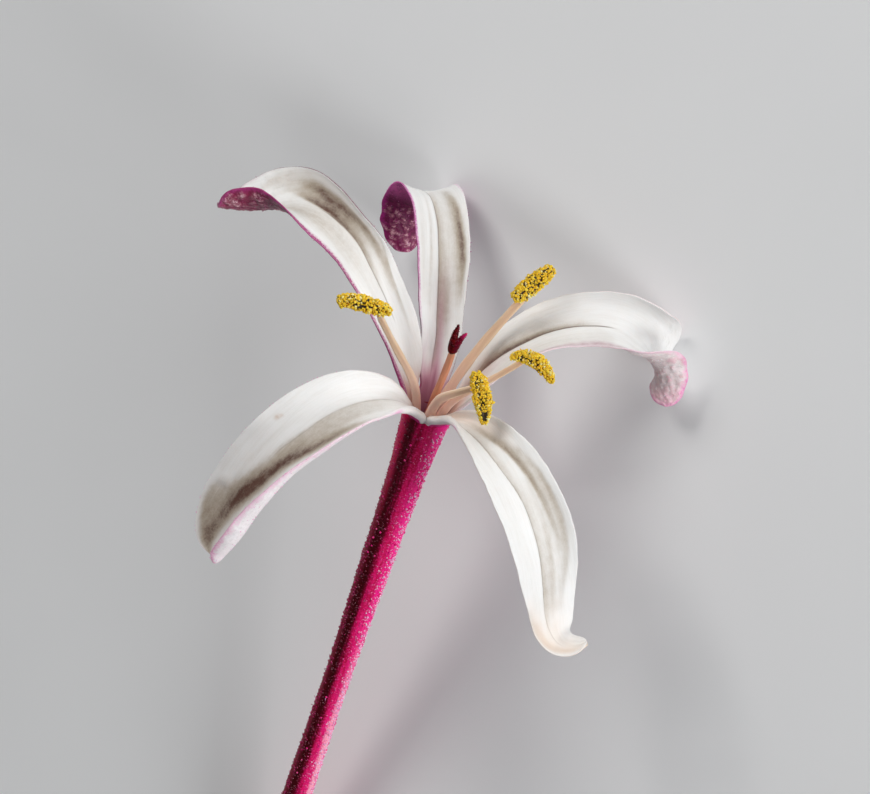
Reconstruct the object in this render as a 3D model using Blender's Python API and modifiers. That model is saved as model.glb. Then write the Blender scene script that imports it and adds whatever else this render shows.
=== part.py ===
"""A single cut bloom lying on its side: a slender magenta tube opening into five recurved petals,
with four stamens and a forked style standing out of its throat.

The bloom is modelled in a frame of its own and then laid down by one empty. In that frame the
origin is the middle of the mouth, +Z runs out of the mouth along the tube, and +X is the side
that faces up when the bloom lies down. Azimuths are measured round +Z from +X towards +Y.
Lengths are in millimetres and angles in degrees; MM turns lengths into metres.
"""

import math

import bmesh
import bpy
import numpy as np
from mathutils import Euler, Vector

MM = 0.001
BLOOM = "lily_flower"

# How the bloom lies: the mouth's place above the ground and the turn about X, Y and Z.
MOUTH_AT = (4.88, 11.57, 9.11)
LIE = (-69.0, -60.0, -50.2)

# Tube: outer radius against height below the mouth, and the shallow throat at its top.
RIM_Z = -0.35
TUBE_OUTER = [
    (-0.42, 1.58), (-0.75, 1.5), (-1.4, 1.43), (-3.0, 1.32), (-4.6, 1.2), (-8.4, 1.08),
    (-12.4, 1.02), (-16.4, 0.92), (-20.5, 0.85), (-25.0, 0.85), (-30.0, 0.92), (-38.0, 0.98),
]
TUBE_END_Z = -46.0
TUBE_END_R = 1.0
THROAT_R = 1.15
THROAT_DEPTH = 1.0
TUBE_SIDES = 28

# Petals: each is a strap that leaves the rim and bends outwards. "lean" is the angle between
# the strap and the tube's axis, "sway" the change of azimuth and "twist" the roll about the
# strap's own line, at six even stations from claw to tip. "across" is the share of the full
# width there. "fold" is how far each half of the strap turns up between the midrib and its
# margin, first on the side of smaller azimuth and then on the other, and "roll" is 1 for an
# even fold and more for one that gathers at the margin. "curl" and "flick" are an extra lean
# and sway that come in over the tip, and "taper" is where the tip starts to narrow. "crease"
# turns the rest of the strap over a slanting line: where along the strap the turn starts and
# ends, the line's own angle to the strap, and how far the strap is turned about it.
PETAL_THICK = 0.6
TIGHTEST_FOLD_R = 0.45
CLAW_RING_R = 1.5
CLAW_GAP = 0.3
PETAL_ROWS = 26
PETAL_COLUMNS = 8
PETALS = {
    "petal_upper_left": dict(
        azimuth=-108, length=20.08, width=4.1, taper=0.84, curl=0, flick=0,
        lean=(22, 33.3, 48.7, 64.4, 126.8, 127.6), sway=(0, 2.3, 0.3, 4.3, 4.9, -7.2),
        twist=(0, -13.5, -17.4, -35.8, 8.2, 38.6), across=(0.31, 0.77, 0.84, 0.93, 1.41, 1.15),
        fold=((23, 48, 38.6, 96.1, 115.5, 55.8), (23, 37.8, 15.3, 35.2, 22.9, 27)), roll=(1, 1),
        crease=(0.63, 0.97, -43.1, 57.8),
    ),
    "petal_top": dict(
        azimuth=-175, length=20.54, width=3.9, taper=0.84, curl=0, flick=0,
        lean=(18, 45.3, 47.6, 67, 159.2, 206.5), sway=(0, 21.5, 18, 22.7, 21.6, 41.3),
        twist=(0, -5.6, -2.3, 1, -2.6, 12.5), across=(0.32, 0.67, 0.9, 0.99, 1.09, 0.9),
        fold=((23, 37.9, 42.4, 19.4, 34, 33), (23, 28, 42.2, 23.1, 32.6, 45.1)), roll=(1, 1),
        crease=(0.6, 0.9, 0, 0),
    ),
    "petal_right": dict(
        azimuth=108, length=19.35, width=4.3, taper=0.84, curl=0, flick=0,
        lean=(22, 22.8, 53.8, 71.9, 133.6, 161), sway=(0, -3.5, 8.4, -9.7, -15, 14.8),
        twist=(0, 11.7, 9.5, 37.7, 36.7, -20.8), across=(0.28, 0.72, 0.91, 0.88, 1.23, 0.68),
        fold=((23, 37, 43.4, 35.9, 112.9, 22.8), (23, 44.7, 36.8, 68.9, 88.9, -25.5)), roll=(1, 1),
        crease=(0.74, 0.87, 10.1, -43.1),
    ),
    "petal_lower_right": dict(
        azimuth=38, length=21.4, width=4.3, taper=0.76, curl=-101.2, flick=45.4,
        lean=(40, 73.4, 111.8, 132.8, 152.7, 141.8), sway=(0, -1.1, 12.5, 15.1, 23.6, 15.6),
        twist=(0, 27.6, 17.8, 13, 15.8, 0), across=(0.25, 0.55, 0.95, 1.09, 0.81, 0.74),
        fold=((23, 36.6, 21.1, 27.9, -0.1, 19.3), (23, 56.8, 47.5, 56, 24.4, 25)), roll=(1, 1),
        crease=(0.6, 0.9, 0, 0),
    ),
    "petal_lower_left": dict(
        azimuth=-36, length=19.71, width=5.4, taper=0.8, curl=0, flick=0,
        lean=(40, 82.4, 120.6, 146.6, 161.6, 160.1), sway=(0, -9.4, -8, -11.5, -9.8, -9.9),
        twist=(0, -14.5, -14.2, -1.2, 3.4, 9), across=(0.28, 0.64, 0.97, 1.09, 1.13, 0.98),
        fold=((23, 63.1, 14.2, 32.3, 28.5, 55.7), (23, 58.3, 87.5, 94.2, 133.1, 137.1)), roll=(1, 2),
        crease=(0.6, 0.9, 0, 0),
    ),
}

# Filaments and style: where each stands in the throat, its lean and azimuth at five even
# stations, its length, and its radius at the foot and at the tip.
STALK_FOOT_Z = RIM_Z - THROAT_DEPTH + 0.3
STALK_RING_R = 0.74
STALK_POINTS = 18
STALKS = {
    "filament_left": dict(
        foot=(-58, STALK_RING_R), lean=(0, 22, 38, 38, 37), azimuth=(-57, -58, -57, -58, -62),
        length=9.25, radius=(0.26, 0.19),
    ),
    "filament_upper_right": dict(
        foot=(130, STALK_RING_R), lean=(0, 12, 20, 25, 29), azimuth=(128, 122, 121, 122, 124),
        length=9.92, radius=(0.28, 0.19),
    ),
    "filament_right": dict(
        foot=(74, STALK_RING_R), lean=(0, 22, 36, 35, 32), azimuth=(66, 63, 64, 70, 80),
        length=9.12, radius=(0.26, 0.16),
    ),
    "filament_front": dict(
        foot=(12, STALK_RING_R), lean=(0, 19, 44, 45, 46), azimuth=(10, 15, 24, 34, 46),
        length=7.9, radius=(0.3, 0.2),
    ),
    "style": dict(
        foot=(0, 0.0), lean=(0, 12, 15, 15, 14), azimuth=(20, 16, 12, 7, 2),
        length=6.4, radius=(0.22, 0.24),
    ),
}

# Anthers: the two ends, how far the middle bows, and the half width and half thickness.
ANTHER_LOBE = 0.2
ANTHER_RELIEF = 0.07
ANTHERS = {
    "anther_left": dict(ends=((3.1, -7.4, 7.5), (2.7, -4.1, 7.6)), bow=(0.0, 0.0, 0.1), half=(0.6, 0.45)),
    "anther_upper_right": dict(ends=((-1.6, 2.8, 8.75), (-2.7, 4.45, 11.1)), bow=(0.0, 0.0, 0.0), half=(0.66, 0.5)),
    "anther_right": dict(ends=((2.3, 3.75, 7.2), (2.9, 6.6, 6.75)), bow=(0.0, 0.1, 0.6), half=(0.55, 0.42)),
    "anther_front": dict(ends=((4.4, 2.0, 6.5), (5.6, 3.5, 4.0)), bow=(0.15, 0.15, 0.1), half=(0.64, 0.48)),
}

# Stigma: a short dark neck above the style that forks into two pointed arms.
STIGMA_GAP = 0.38
STIGMA_NECK = 0.9
STIGMA_R = 0.29
STIGMA_ARMS = [dict(tip=(-0.25, -0.2, 1.75), side=(0.1, -0.25, 0.9)), dict(tip=(0.0, 0.6, 1.5), side=(0.1, 0.35, 0.9))]

COLOURS = {
    "tube": ((0.5, 0.004, 0.09), 0.5),
    "petal": ((0.86, 0.85, 0.82), 0.55),
    "filament": ((0.63, 0.38, 0.22), 0.5),
    "anther": ((0.62, 0.42, 0.03), 0.8),
    "style": ((0.52, 0.24, 0.13), 0.5),
    "stigma": ((0.06, 0.004, 0.004), 0.4),
}


def through(values, t):
    """Smooth curve through evenly spaced values, read at t from 0 to 1."""
    padded = np.array([2 * values[0] - values[1], *values, 2 * values[-1] - values[-2]], dtype=float)
    spans = len(values) - 1
    x = np.clip(np.asarray(t, dtype=float), 0.0, 1.0) * spans
    i = np.minimum(x.astype(int), spans - 1)
    f = x - i
    a, b, c, d = padded[i], padded[i + 1], padded[i + 2], padded[i + 3]
    return 0.5 * (2 * b + (c - a) * f + (2 * a - 5 * b + 4 * c - d) * f**2 + (3 * b - a - 3 * c + d) * f**3)


def heading(lean, azimuth):
    """Unit vectors that lean away from +Z towards an azimuth, both in radians."""
    return np.stack([np.sin(lean) * np.cos(azimuth), np.sin(lean) * np.sin(azimuth), np.cos(lean)], axis=1)


def walk(start, directions, length):
    """Points of a line that starts at start and follows the directions for a length."""
    step = length / (len(directions) - 1)
    moves = (directions[:-1] + directions[1:]) / 2 * step
    return np.vstack([start, start + np.cumsum(moves, axis=0)])


def turned(vectors, axis, angle):
    """Vectors turned about one axis, each by its own angle."""
    cosine = np.cos(angle)[:, None]
    sine = np.sin(angle)[:, None]
    along = (vectors @ axis)[:, None] * axis
    return vectors * cosine + np.cross(axis, vectors) * sine + along * (1 - cosine)


def petal_points(petal, rows, columns):
    """Middle surface of a petal as a grid of points, claw to tip and margin to margin."""
    s = np.linspace(0.0, 1.0, rows + 1)
    u = np.linspace(-1.0, 1.0, columns + 1)
    end = np.clip((s - 0.86) / 0.14, 0.0, 1.0)
    end = end * end * (3 - 2 * end)
    lean = np.radians(through(petal["lean"], s) + petal["curl"] * end)
    azimuth = np.radians(petal["azimuth"] + through(petal["sway"], s) + petal["flick"] * end)
    twist = np.radians(through(petal["twist"], s))[:, None]
    along = heading(lean, azimuth)
    inner = np.stack([-np.cos(lean) * np.cos(azimuth), -np.cos(lean) * np.sin(azimuth), np.sin(lean)], axis=1)
    side = np.stack([-np.sin(azimuth), np.cos(azimuth), np.zeros_like(azimuth)], axis=1)
    across = np.cos(twist) * side + np.sin(twist) * inner
    inner = np.cos(twist) * inner - np.sin(twist) * side
    crease_from, crease_to, slant, turn_over = petal["crease"]
    hinge = math.cos(math.radians(slant)) * np.array([np.interp(crease_from, s, part) for part in along.T])
    hinge += math.sin(math.radians(slant)) * np.array([np.interp(crease_from, s, part) for part in across.T])
    hinge /= np.linalg.norm(hinge)
    turning = np.clip((s - crease_from) / (crease_to - crease_from), 0.0, 1.0)
    turning = math.radians(turn_over) * turning * turning * (3 - 2 * turning)
    along, across, inner = (turned(vectors, hinge, turning) for vectors in (along, across, inner))
    root = math.radians(petal["azimuth"])
    root_z = RIM_Z + CLAW_GAP + 0.5 * PETAL_THICK * math.sin(lean[0])
    start = np.array([CLAW_RING_R * math.cos(root), CLAW_RING_R * math.sin(root), root_z])
    line = walk(start, along, petal["length"])
    narrowing = np.clip((s - petal["taper"]) / (1 - petal["taper"]), 0.0, 1.0)
    narrowing = 0.05 + 0.95 * np.sqrt(1 - narrowing**2)
    half = 0.5 * petal["width"] * through(petal["across"], s) * narrowing
    reach = np.zeros((rows + 1, columns + 1))
    lift = np.zeros((rows + 1, columns + 1))
    v = np.linspace(0.0, 1.0, 49)
    for side_sign, side_fold, roll in zip((-1, 1), petal["fold"], petal["roll"]):
        fold = np.clip(np.radians(through(side_fold, s)), 0.02, half / (TIGHTEST_FOLD_R * roll))
        angle = fold[:, None] * v[None, :] ** roll
        along = (np.cos(angle[:, 1:]) + np.cos(angle[:, :-1])) / 2
        upward = (np.sin(angle[:, 1:]) + np.sin(angle[:, :-1])) / 2
        for k in range(rows + 1):
            out = np.concatenate([[0.0], np.cumsum(along[k])]) * half[k] / 48
            up = np.concatenate([[0.0], np.cumsum(upward[k])]) * half[k] / 48
            mine = u * side_sign > 0
            reach[k, mine] = side_sign * np.interp(np.abs(u[mine]), v, out)
            lift[k, mine] = np.interp(np.abs(u[mine]), v, up)
    return line[:, None, :] + across[:, None, :] * reach[:, :, None] + inner[:, None, :] * lift[:, :, None]


def stalk_points(stalk, points=STALK_POINTS):
    """Centre line of a filament or of the style, foot to tip."""
    s = np.linspace(0.0, 1.0, points)
    lean = np.radians(through(stalk["lean"], s))
    azimuth = np.radians(through(stalk["azimuth"], s))
    angle, ring = math.radians(stalk["foot"][0]), stalk["foot"][1]
    start = np.array([ring * math.cos(angle), ring * math.sin(angle), STALK_FOOT_Z])
    return walk(start, heading(lean, azimuth), stalk["length"])


def principled(name, colour, roughness):
    material = bpy.data.materials.new(name)
    material.use_nodes = True
    shader = material.node_tree.nodes["Principled BSDF"]
    shader.inputs["Base Color"].default_value = (*colour, 1.0)
    shader.inputs["Roughness"].default_value = roughness
    shader.inputs["Metallic"].default_value = 0.0
    material.diffuse_color = (*colour, 1.0)
    return material


def add(name, data, collection, pose, material=None):
    thing = bpy.data.objects.new(name, data)
    collection.objects.link(thing)
    thing.parent = pose
    if material:
        data.materials.append(material)
    return thing


def mesh_from(bm, name):
    mesh = bpy.data.meshes.new(name)
    bm.to_mesh(mesh)
    bm.free()
    mesh.shade_smooth()
    return mesh


def petal_mesh(name, petal):
    """Open sheet of triangles, split alike everywhere, for Solidify to thicken."""
    grid = petal_points(petal, PETAL_ROWS, PETAL_COLUMNS) * MM
    bm = bmesh.new()
    rows = [[bm.verts.new(point) for point in row] for row in grid]
    for lower, upper in zip(rows, rows[1:]):
        for j in range(PETAL_COLUMNS):
            bm.faces.new((lower[j], lower[j + 1], upper[j + 1]))
            bm.faces.new((lower[j], upper[j + 1], upper[j]))
    return mesh_from(bm, name)


def tube_mesh(name):
    """Half profile of the tube, from the throat's middle over the rim and down to the cut end."""
    floor_z = RIM_Z - THROAT_DEPTH
    profile = [(0.0, floor_z), (THROAT_R - 0.1, floor_z), (THROAT_R, floor_z + 0.1)]
    profile += [(THROAT_R + 0.02, RIM_Z - 0.12), (THROAT_R + 0.12, RIM_Z), (1.46, RIM_Z)]
    profile += [(radius, z) for z, radius in TUBE_OUTER]
    profile += [(TUBE_END_R, TUBE_END_Z), (0.0, TUBE_END_Z)]
    bm = bmesh.new()
    verts = [bm.verts.new((radius * MM, 0.0, z * MM)) for radius, z in profile]
    for a, b in zip(verts, verts[1:]):
        bm.edges.new((a, b))
    return mesh_from(bm, name)


def turn(thing, sides):
    screw = thing.modifiers.new("turn", "SCREW")
    screw.axis = "Z"
    screw.angle = math.radians(360)
    screw.steps = sides
    screw.render_steps = sides
    screw.use_merge_vertices = True
    screw.merge_threshold = 0.00001
    screw.use_normal_calculate = False
    screw.use_smooth_shade = True


def stalk_curve(name, points, radii):
    curve = bpy.data.curves.new(name, "CURVE")
    curve.dimensions = "3D"
    curve.bevel_depth = MM
    curve.bevel_resolution = 2
    curve.use_fill_caps = True
    spline = curve.splines.new("POLY")
    spline.points.add(len(points) - 1)
    for target, point, radius in zip(spline.points, points, radii):
        target.co = (*(point * MM), 1.0)
        target.radius = radius
    return curve


def anther_mesh(name, anther, seed):
    """Two-lobed spindle along a bowed line, with the pollen's clumps raised from its surface."""
    first, last = (np.array(end) for end in anther["ends"])
    bow = np.array(anther["bow"])
    half_width, half_thick = anther["half"]
    bm = bmesh.new()
    bmesh.ops.create_uvsphere(bm, u_segments=20, v_segments=14, radius=1.0)
    along = (last - first) / np.linalg.norm(last - first)
    facing = np.array([1.0, 0.0, 0.0]) - along * along[0]
    facing /= np.linalg.norm(facing)
    across = np.cross(facing, along)
    for vert in bm.verts:
        x, y, z = vert.co
        ring = math.hypot(x, y)
        angle = math.atan2(y, x)
        middle = first + (last - first) * (0.5 + 0.5 * z) + bow * (1 - z * z)
        groove = 1 - ANTHER_LOBE * abs(math.sin(angle)) ** 6
        clumps = math.sin(9.0 * z + 2.0 * angle + seed) * math.sin(3.0 * angle - 4.0 * z + 2 * seed)
        reach = ring**0.65 * groove
        lump = ANTHER_RELIEF * ring * clumps
        offset = across * (reach * half_width + lump) * math.cos(angle)
        offset = offset + facing * (reach * half_thick + lump) * math.sin(angle)
        vert.co = Vector((middle + offset) * MM)
    bmesh.ops.triangulate(bm, faces=bm.faces)
    bmesh.ops.recalc_face_normals(bm, faces=bm.faces)
    return mesh_from(bm, name)


def solid_from_curve(curve, name):
    """Closed mesh of a curve with its caps welded on."""
    holder = bpy.data.objects.new(name, curve)
    bpy.context.scene.collection.objects.link(holder)
    bpy.context.view_layer.update()
    evaluated = holder.evaluated_get(bpy.context.evaluated_depsgraph_get())
    mesh = bpy.data.meshes.new_from_object(evaluated)
    bpy.data.objects.remove(holder)
    bm = bmesh.new()
    bm.from_mesh(mesh)
    bmesh.ops.remove_doubles(bm, verts=bm.verts, dist=0.000005)
    bmesh.ops.recalc_face_normals(bm, faces=bm.faces)
    bm.to_mesh(mesh)
    bm.free()
    mesh.shade_smooth()
    return mesh


def arm_points(base, middle, tip, count=8):
    t = np.linspace(0.0, 1.0, count)[:, None]
    return (1 - t) ** 2 * base + 2 * t * (1 - t) * middle + t**2 * tip


def build():
    for thing in list(bpy.data.objects):
        bpy.data.objects.remove(thing)
    scene = bpy.context.scene
    collection = bpy.data.collections.new(BLOOM)
    cutters = bpy.data.collections.new("cutters")
    scene.collection.children.link(collection)
    scene.collection.children.link(cutters)
    materials = {name: principled(name, colour, roughness) for name, (colour, roughness) in COLOURS.items()}

    pose = bpy.data.objects.new("bloom_pose", None)
    collection.objects.link(pose)
    pose.location = Vector(MOUTH_AT) * MM
    pose.rotation_euler = Euler([math.radians(angle) for angle in LIE], "XYZ")

    tube = add("flower_tube", tube_mesh("flower_tube"), collection, pose, materials["tube"])
    turn(tube, TUBE_SIDES)

    petals = {}
    for name, petal in PETALS.items():
        petals[name] = add(name, petal_mesh(name, petal), collection, pose, materials["petal"])
        shell = petals[name].modifiers.new("thickness", "SOLIDIFY")
        shell.thickness = PETAL_THICK * MM
        shell.offset = 0.0

    for name, stalk in STALKS.items():
        points = stalk_points(stalk)
        radii = np.linspace(*stalk["radius"], len(points))
        kind = "style" if name == "style" else "filament"
        add(name, stalk_curve(name, points, radii), collection, pose, materials[kind])

    for seed, (name, anther) in enumerate(ANTHERS.items()):
        add(name, anther_mesh(name, anther, seed), collection, pose, materials["anther"])

    style = stalk_points(STALKS["style"])
    axis = (style[-1] - style[-2]) / np.linalg.norm(style[-1] - style[-2])
    base = style[-1] + axis * STIGMA_GAP
    fork = base + axis * STIGMA_NECK
    arms = []
    for arm in STIGMA_ARMS:
        line = arm_points(base, base + np.array(arm["side"]), fork + np.array(arm["tip"]) - axis * 0.3)
        radii = STIGMA_R * (1 - np.linspace(0.0, 1.0, len(line)) ** 1.5 * 0.72)
        arms.append(solid_from_curve(stalk_curve("arm", line, radii), "arm"))
    stigma = add("stigma", arms[0], collection, pose, materials["stigma"])
    other = add("stigma_second_arm", arms[1], cutters, pose)
    other.hide_render = True
    other.display_type = "WIRE"
    union = stigma.modifiers.new("fork", "BOOLEAN")
    union.operation = "UNION"
    union.solver = "EXACT"
    union.object = other

    # Ground: shaves a small flat wherever the bloom rests, so that it lies still.
    ground_mesh = bpy.data.meshes.new("ground")
    bm = bmesh.new()
    bmesh.ops.create_cube(bm, size=1.0)
    for vert in bm.verts:
        vert.co = Vector((vert.co.x * 0.16, vert.co.y * 0.16, vert.co.z * 0.02 - 0.01))
    bm.to_mesh(ground_mesh)
    bm.free()
    ground = bpy.data.objects.new("ground", ground_mesh)
    cutters.objects.link(ground)
    ground.hide_render = True
    ground.display_type = "WIRE"
    for thing in (tube, petals["petal_top"], petals["petal_right"]):
        flat = thing.modifiers.new("flat", "BOOLEAN")
        flat.operation = "DIFFERENCE"
        flat.solver = "EXACT"
        flat.object = ground


build()
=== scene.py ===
"""Looks of the lily-like tubular bloom: white petals with magenta backs, a magenta tube set with
glistening short hairs, pollen-covered anthers, and soft studio light on a pale floor.

Shapes are made in the bloom's own frame, in millimetres: the origin is the middle of the mouth, +Z
runs out of the mouth along the tube, and azimuths go round +Z from +X towards +Y. place() then
turns them into metres where the bloom lies.
"""

import math

import bmesh
import bpy
import numpy as np
from mathutils import Euler, Matrix, Vector


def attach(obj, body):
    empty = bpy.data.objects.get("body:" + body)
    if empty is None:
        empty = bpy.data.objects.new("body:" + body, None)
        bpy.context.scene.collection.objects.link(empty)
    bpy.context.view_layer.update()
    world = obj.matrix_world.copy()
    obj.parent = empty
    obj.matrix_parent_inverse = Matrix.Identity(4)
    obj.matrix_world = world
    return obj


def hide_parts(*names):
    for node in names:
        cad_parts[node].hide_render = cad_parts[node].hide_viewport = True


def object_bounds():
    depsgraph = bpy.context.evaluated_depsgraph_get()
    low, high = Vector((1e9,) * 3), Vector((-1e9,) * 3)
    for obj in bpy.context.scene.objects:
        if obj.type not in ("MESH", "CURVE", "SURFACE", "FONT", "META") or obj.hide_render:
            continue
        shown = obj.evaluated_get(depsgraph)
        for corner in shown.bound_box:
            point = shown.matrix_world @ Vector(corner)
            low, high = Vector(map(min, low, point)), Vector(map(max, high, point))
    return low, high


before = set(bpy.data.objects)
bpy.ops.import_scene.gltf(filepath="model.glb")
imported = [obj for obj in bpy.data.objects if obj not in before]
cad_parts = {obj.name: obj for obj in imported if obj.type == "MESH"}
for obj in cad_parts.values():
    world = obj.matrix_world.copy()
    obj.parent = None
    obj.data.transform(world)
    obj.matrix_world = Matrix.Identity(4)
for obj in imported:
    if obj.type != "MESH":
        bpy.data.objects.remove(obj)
cad_low, cad_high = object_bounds()

MM = 0.001
ROUND = 2 * math.pi

# How the bloom lies, and its tube, petals and stamens, in mm and degrees
MOUTH_AT = (4.88, 11.57, 9.11)
LIE = (-69.0, -60.0, -50.2)
RIM_Z = -0.35
TUBE_TOP_Z = -0.42
TUBE_END_Z = -46.0
TUBE_OUTER = [
    (TUBE_TOP_Z, 1.58), (-0.75, 1.5), (-1.4, 1.43), (-3.0, 1.32), (-4.6, 1.2), (-8.4, 1.08),
    (-12.4, 1.02), (-16.4, 0.92), (-20.5, 0.85), (-25.0, 0.85), (-30.0, 0.92), (-38.0, 0.98),
    (TUBE_END_Z, 1.0),
]
THROAT_DEPTH = 1.0
PETAL_THICK = 0.6
TIGHTEST_FOLD_R = 0.45
CLAW_RING_R = 1.5
CLAW_GAP = 0.3
PETAL_USUAL = dict(curl=0, flick=0, roll=(1, 1), crease=(0.6, 0.9, 0, 0))
PETALS = {
    "petal_upper_left": dict(
        azimuth=-108, length=20.08, width=4.1, taper=0.84,
        lean=(22, 33.3, 48.7, 64.4, 126.8, 127.6), sway=(0, 2.3, 0.3, 4.3, 4.9, -7.2),
        twist=(0, -13.5, -17.4, -35.8, 8.2, 38.6), across=(0.31, 0.77, 0.84, 0.93, 1.41, 1.15),
        fold=((23, 48, 38.6, 96.1, 115.5, 55.8), (23, 37.8, 15.3, 35.2, 22.9, 27)),
        crease=(0.63, 0.97, -43.1, 57.8),
    ),
    "petal_top": dict(
        azimuth=-175, length=20.54, width=3.9, taper=0.84,
        lean=(18, 45.3, 47.6, 67, 159.2, 206.5), sway=(0, 21.5, 18, 22.7, 21.6, 41.3),
        twist=(0, -5.6, -2.3, 1, -2.6, 12.5), across=(0.32, 0.67, 0.9, 0.99, 1.09, 0.9),
        fold=((23, 37.9, 42.4, 19.4, 34, 33), (23, 28, 42.2, 23.1, 32.6, 45.1)),
    ),
    "petal_right": dict(
        azimuth=108, length=19.35, width=4.3, taper=0.84,
        lean=(22, 22.8, 53.8, 71.9, 133.6, 161), sway=(0, -3.5, 8.4, -9.7, -15, 14.8),
        twist=(0, 11.7, 9.5, 37.7, 36.7, -20.8), across=(0.28, 0.72, 0.91, 0.88, 1.23, 0.68),
        fold=((23, 37, 43.4, 35.9, 112.9, 22.8), (23, 44.7, 36.8, 68.9, 88.9, -25.5)),
        crease=(0.74, 0.87, 10.1, -43.1),
    ),
    "petal_lower_right": dict(
        azimuth=38, length=21.4, width=4.3, taper=0.76, curl=-101.2, flick=45.4,
        lean=(40, 73.4, 111.8, 132.8, 152.7, 141.8), sway=(0, -1.1, 12.5, 15.1, 23.6, 15.6),
        twist=(0, 27.6, 17.8, 13, 15.8, 0), across=(0.25, 0.55, 0.95, 1.09, 0.81, 0.74),
        fold=((23, 36.6, 21.1, 27.9, -0.1, 19.3), (23, 56.8, 47.5, 56, 24.4, 25)),
    ),
    "petal_lower_left": dict(
        azimuth=-36, length=19.71, width=5.4, taper=0.8,
        lean=(40, 82.4, 120.6, 146.6, 161.6, 160.1), sway=(0, -9.4, -8, -11.5, -9.8, -9.9),
        twist=(0, -14.5, -14.2, -1.2, 3.4, 9), across=(0.28, 0.64, 0.97, 1.09, 1.13, 0.98),
        fold=((23, 63.1, 14.2, 32.3, 28.5, 55.7), (23, 58.3, 87.5, 94.2, 133.1, 137.1)), roll=(1, 2),
    ),
}
STALK_FOOT_Z = RIM_Z - THROAT_DEPTH + 0.3
STALK_RING_R = 0.74
STALKS = {
    "filament_left": dict(
        foot=(-58, STALK_RING_R), lean=(0, 22, 38, 38, 37), azimuth=(-57, -58, -57, -58, -62),
        length=9.25, radius=(0.26, 0.19),
    ),
    "filament_upper_right": dict(
        foot=(130, STALK_RING_R), lean=(0, 12, 20, 25, 29), azimuth=(128, 122, 121, 122, 124),
        length=9.92, radius=(0.28, 0.19),
    ),
    "filament_right": dict(
        foot=(74, STALK_RING_R), lean=(0, 22, 36, 35, 32), azimuth=(66, 63, 64, 70, 80),
        length=9.12, radius=(0.26, 0.16),
    ),
    "filament_front": dict(
        foot=(12, STALK_RING_R), lean=(0, 19, 44, 45, 46), azimuth=(10, 15, 24, 34, 46),
        length=7.9, radius=(0.3, 0.2),
    ),
    "style": dict(
        foot=(0, 0.0), lean=(0, 12, 15, 15, 14), azimuth=(20, 16, 12, 7, 2),
        length=6.4, radius=(0.22, 0.24),
    ),
}
ANTHERS = {
    "anther_left": dict(
        ends=((3.1, -7.4, 7.5), (2.7, -4.1, 7.6)), bow=(0.0, 0.0, 0.1), half=(0.6, 0.45), slimmer=0.08,
    ),
    "anther_upper_right": dict(
        ends=((-1.6, 2.8, 8.75), (-2.7, 4.45, 11.1)), bow=(0.0, 0.0, 0.0), half=(0.66, 0.5), slimmer=0.08,
    ),
    "anther_right": dict(
        ends=((2.3, 3.75, 7.2), (2.9, 6.6, 6.75)), bow=(0.0, 0.1, 0.6), half=(0.55, 0.42), slimmer=0.08,
    ),
    "anther_front": dict(
        ends=((4.4, 2.0, 6.5), (5.6, 3.5, 4.0)), bow=(0.15, 0.15, 0.1), half=(0.64, 0.48), slimmer=0.34,
    ),
}
STIGMA_GAP = 0.38
STIGMA_NECK = 0.9
STIGMA_R = 0.29
STIGMA_ARMS = [
    dict(
        tip=(-0.25, -0.2, 1.75), side=(0.1, -0.25, 0.9), bowed=(1.0, 1.0, 1.0),
        thick=1.0, shorter=0.84, taper=2.4, bright=False,
    ),
    dict(
        tip=(0.0, 0.6, 1.5), side=(0.1, 0.35, 0.9), bowed=(1.0, 0.35, 1.2),
        thick=0.87, shorter=0.8, taper=1.8, bright=True,
    ),
]

# How each petal looks. A place is a share of its length and a share of its half width.
# vein, line: the path of the main vein and how dark it is
# shades, tints, mauves: streaks of painted grey-brown shade in hollows and creases, of the throat's
# colour and of dull pink, as paths of (place, strength, softness in mm towards the first margin and
# towards the second)
# spots, dents: (place, radius in mm, strength) and (place, radii in mm, depth in mm along the normal)
# edges: the tint along each margin, as (share of the length, strength, width in mm)
# blush, blush_reach: the tint that the throat gives to the base and how far it reaches
# back, pale, rim: the outer face's colour, how pale it is and the colour of its margins
# tip, tip_from: the outer face's colour at the tip and where that starts
# lumps, lumps_from: how many lumps the outer face has towards the tip and where they start
# bristles, frosty: how many short hairs a margin has, and whether they are pale
# seam: the share of the length over which the outer face takes the tube's colour
# lip, loop: 1 for a thick, pale, rolled lip at the claw, and 1 for a painted highlight band over the fold
# torn, closing: how ragged the tip's margins are, and the side where the claw reaches further
# last, blunt: where the narrowing of the tip ends and how blunt it is
LOOK_USUAL = dict(
    tints=[], mauves=[], spots=[], dents=[], mauve=(0.5, 0.32, 0.37), lumps=0, lumps_from=0.7,
    seam=0.1, lip=0.0, loop=0.0, torn=0.0, closing=0, last=1.0, blunt=0.5, frosty=False,
)
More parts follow.
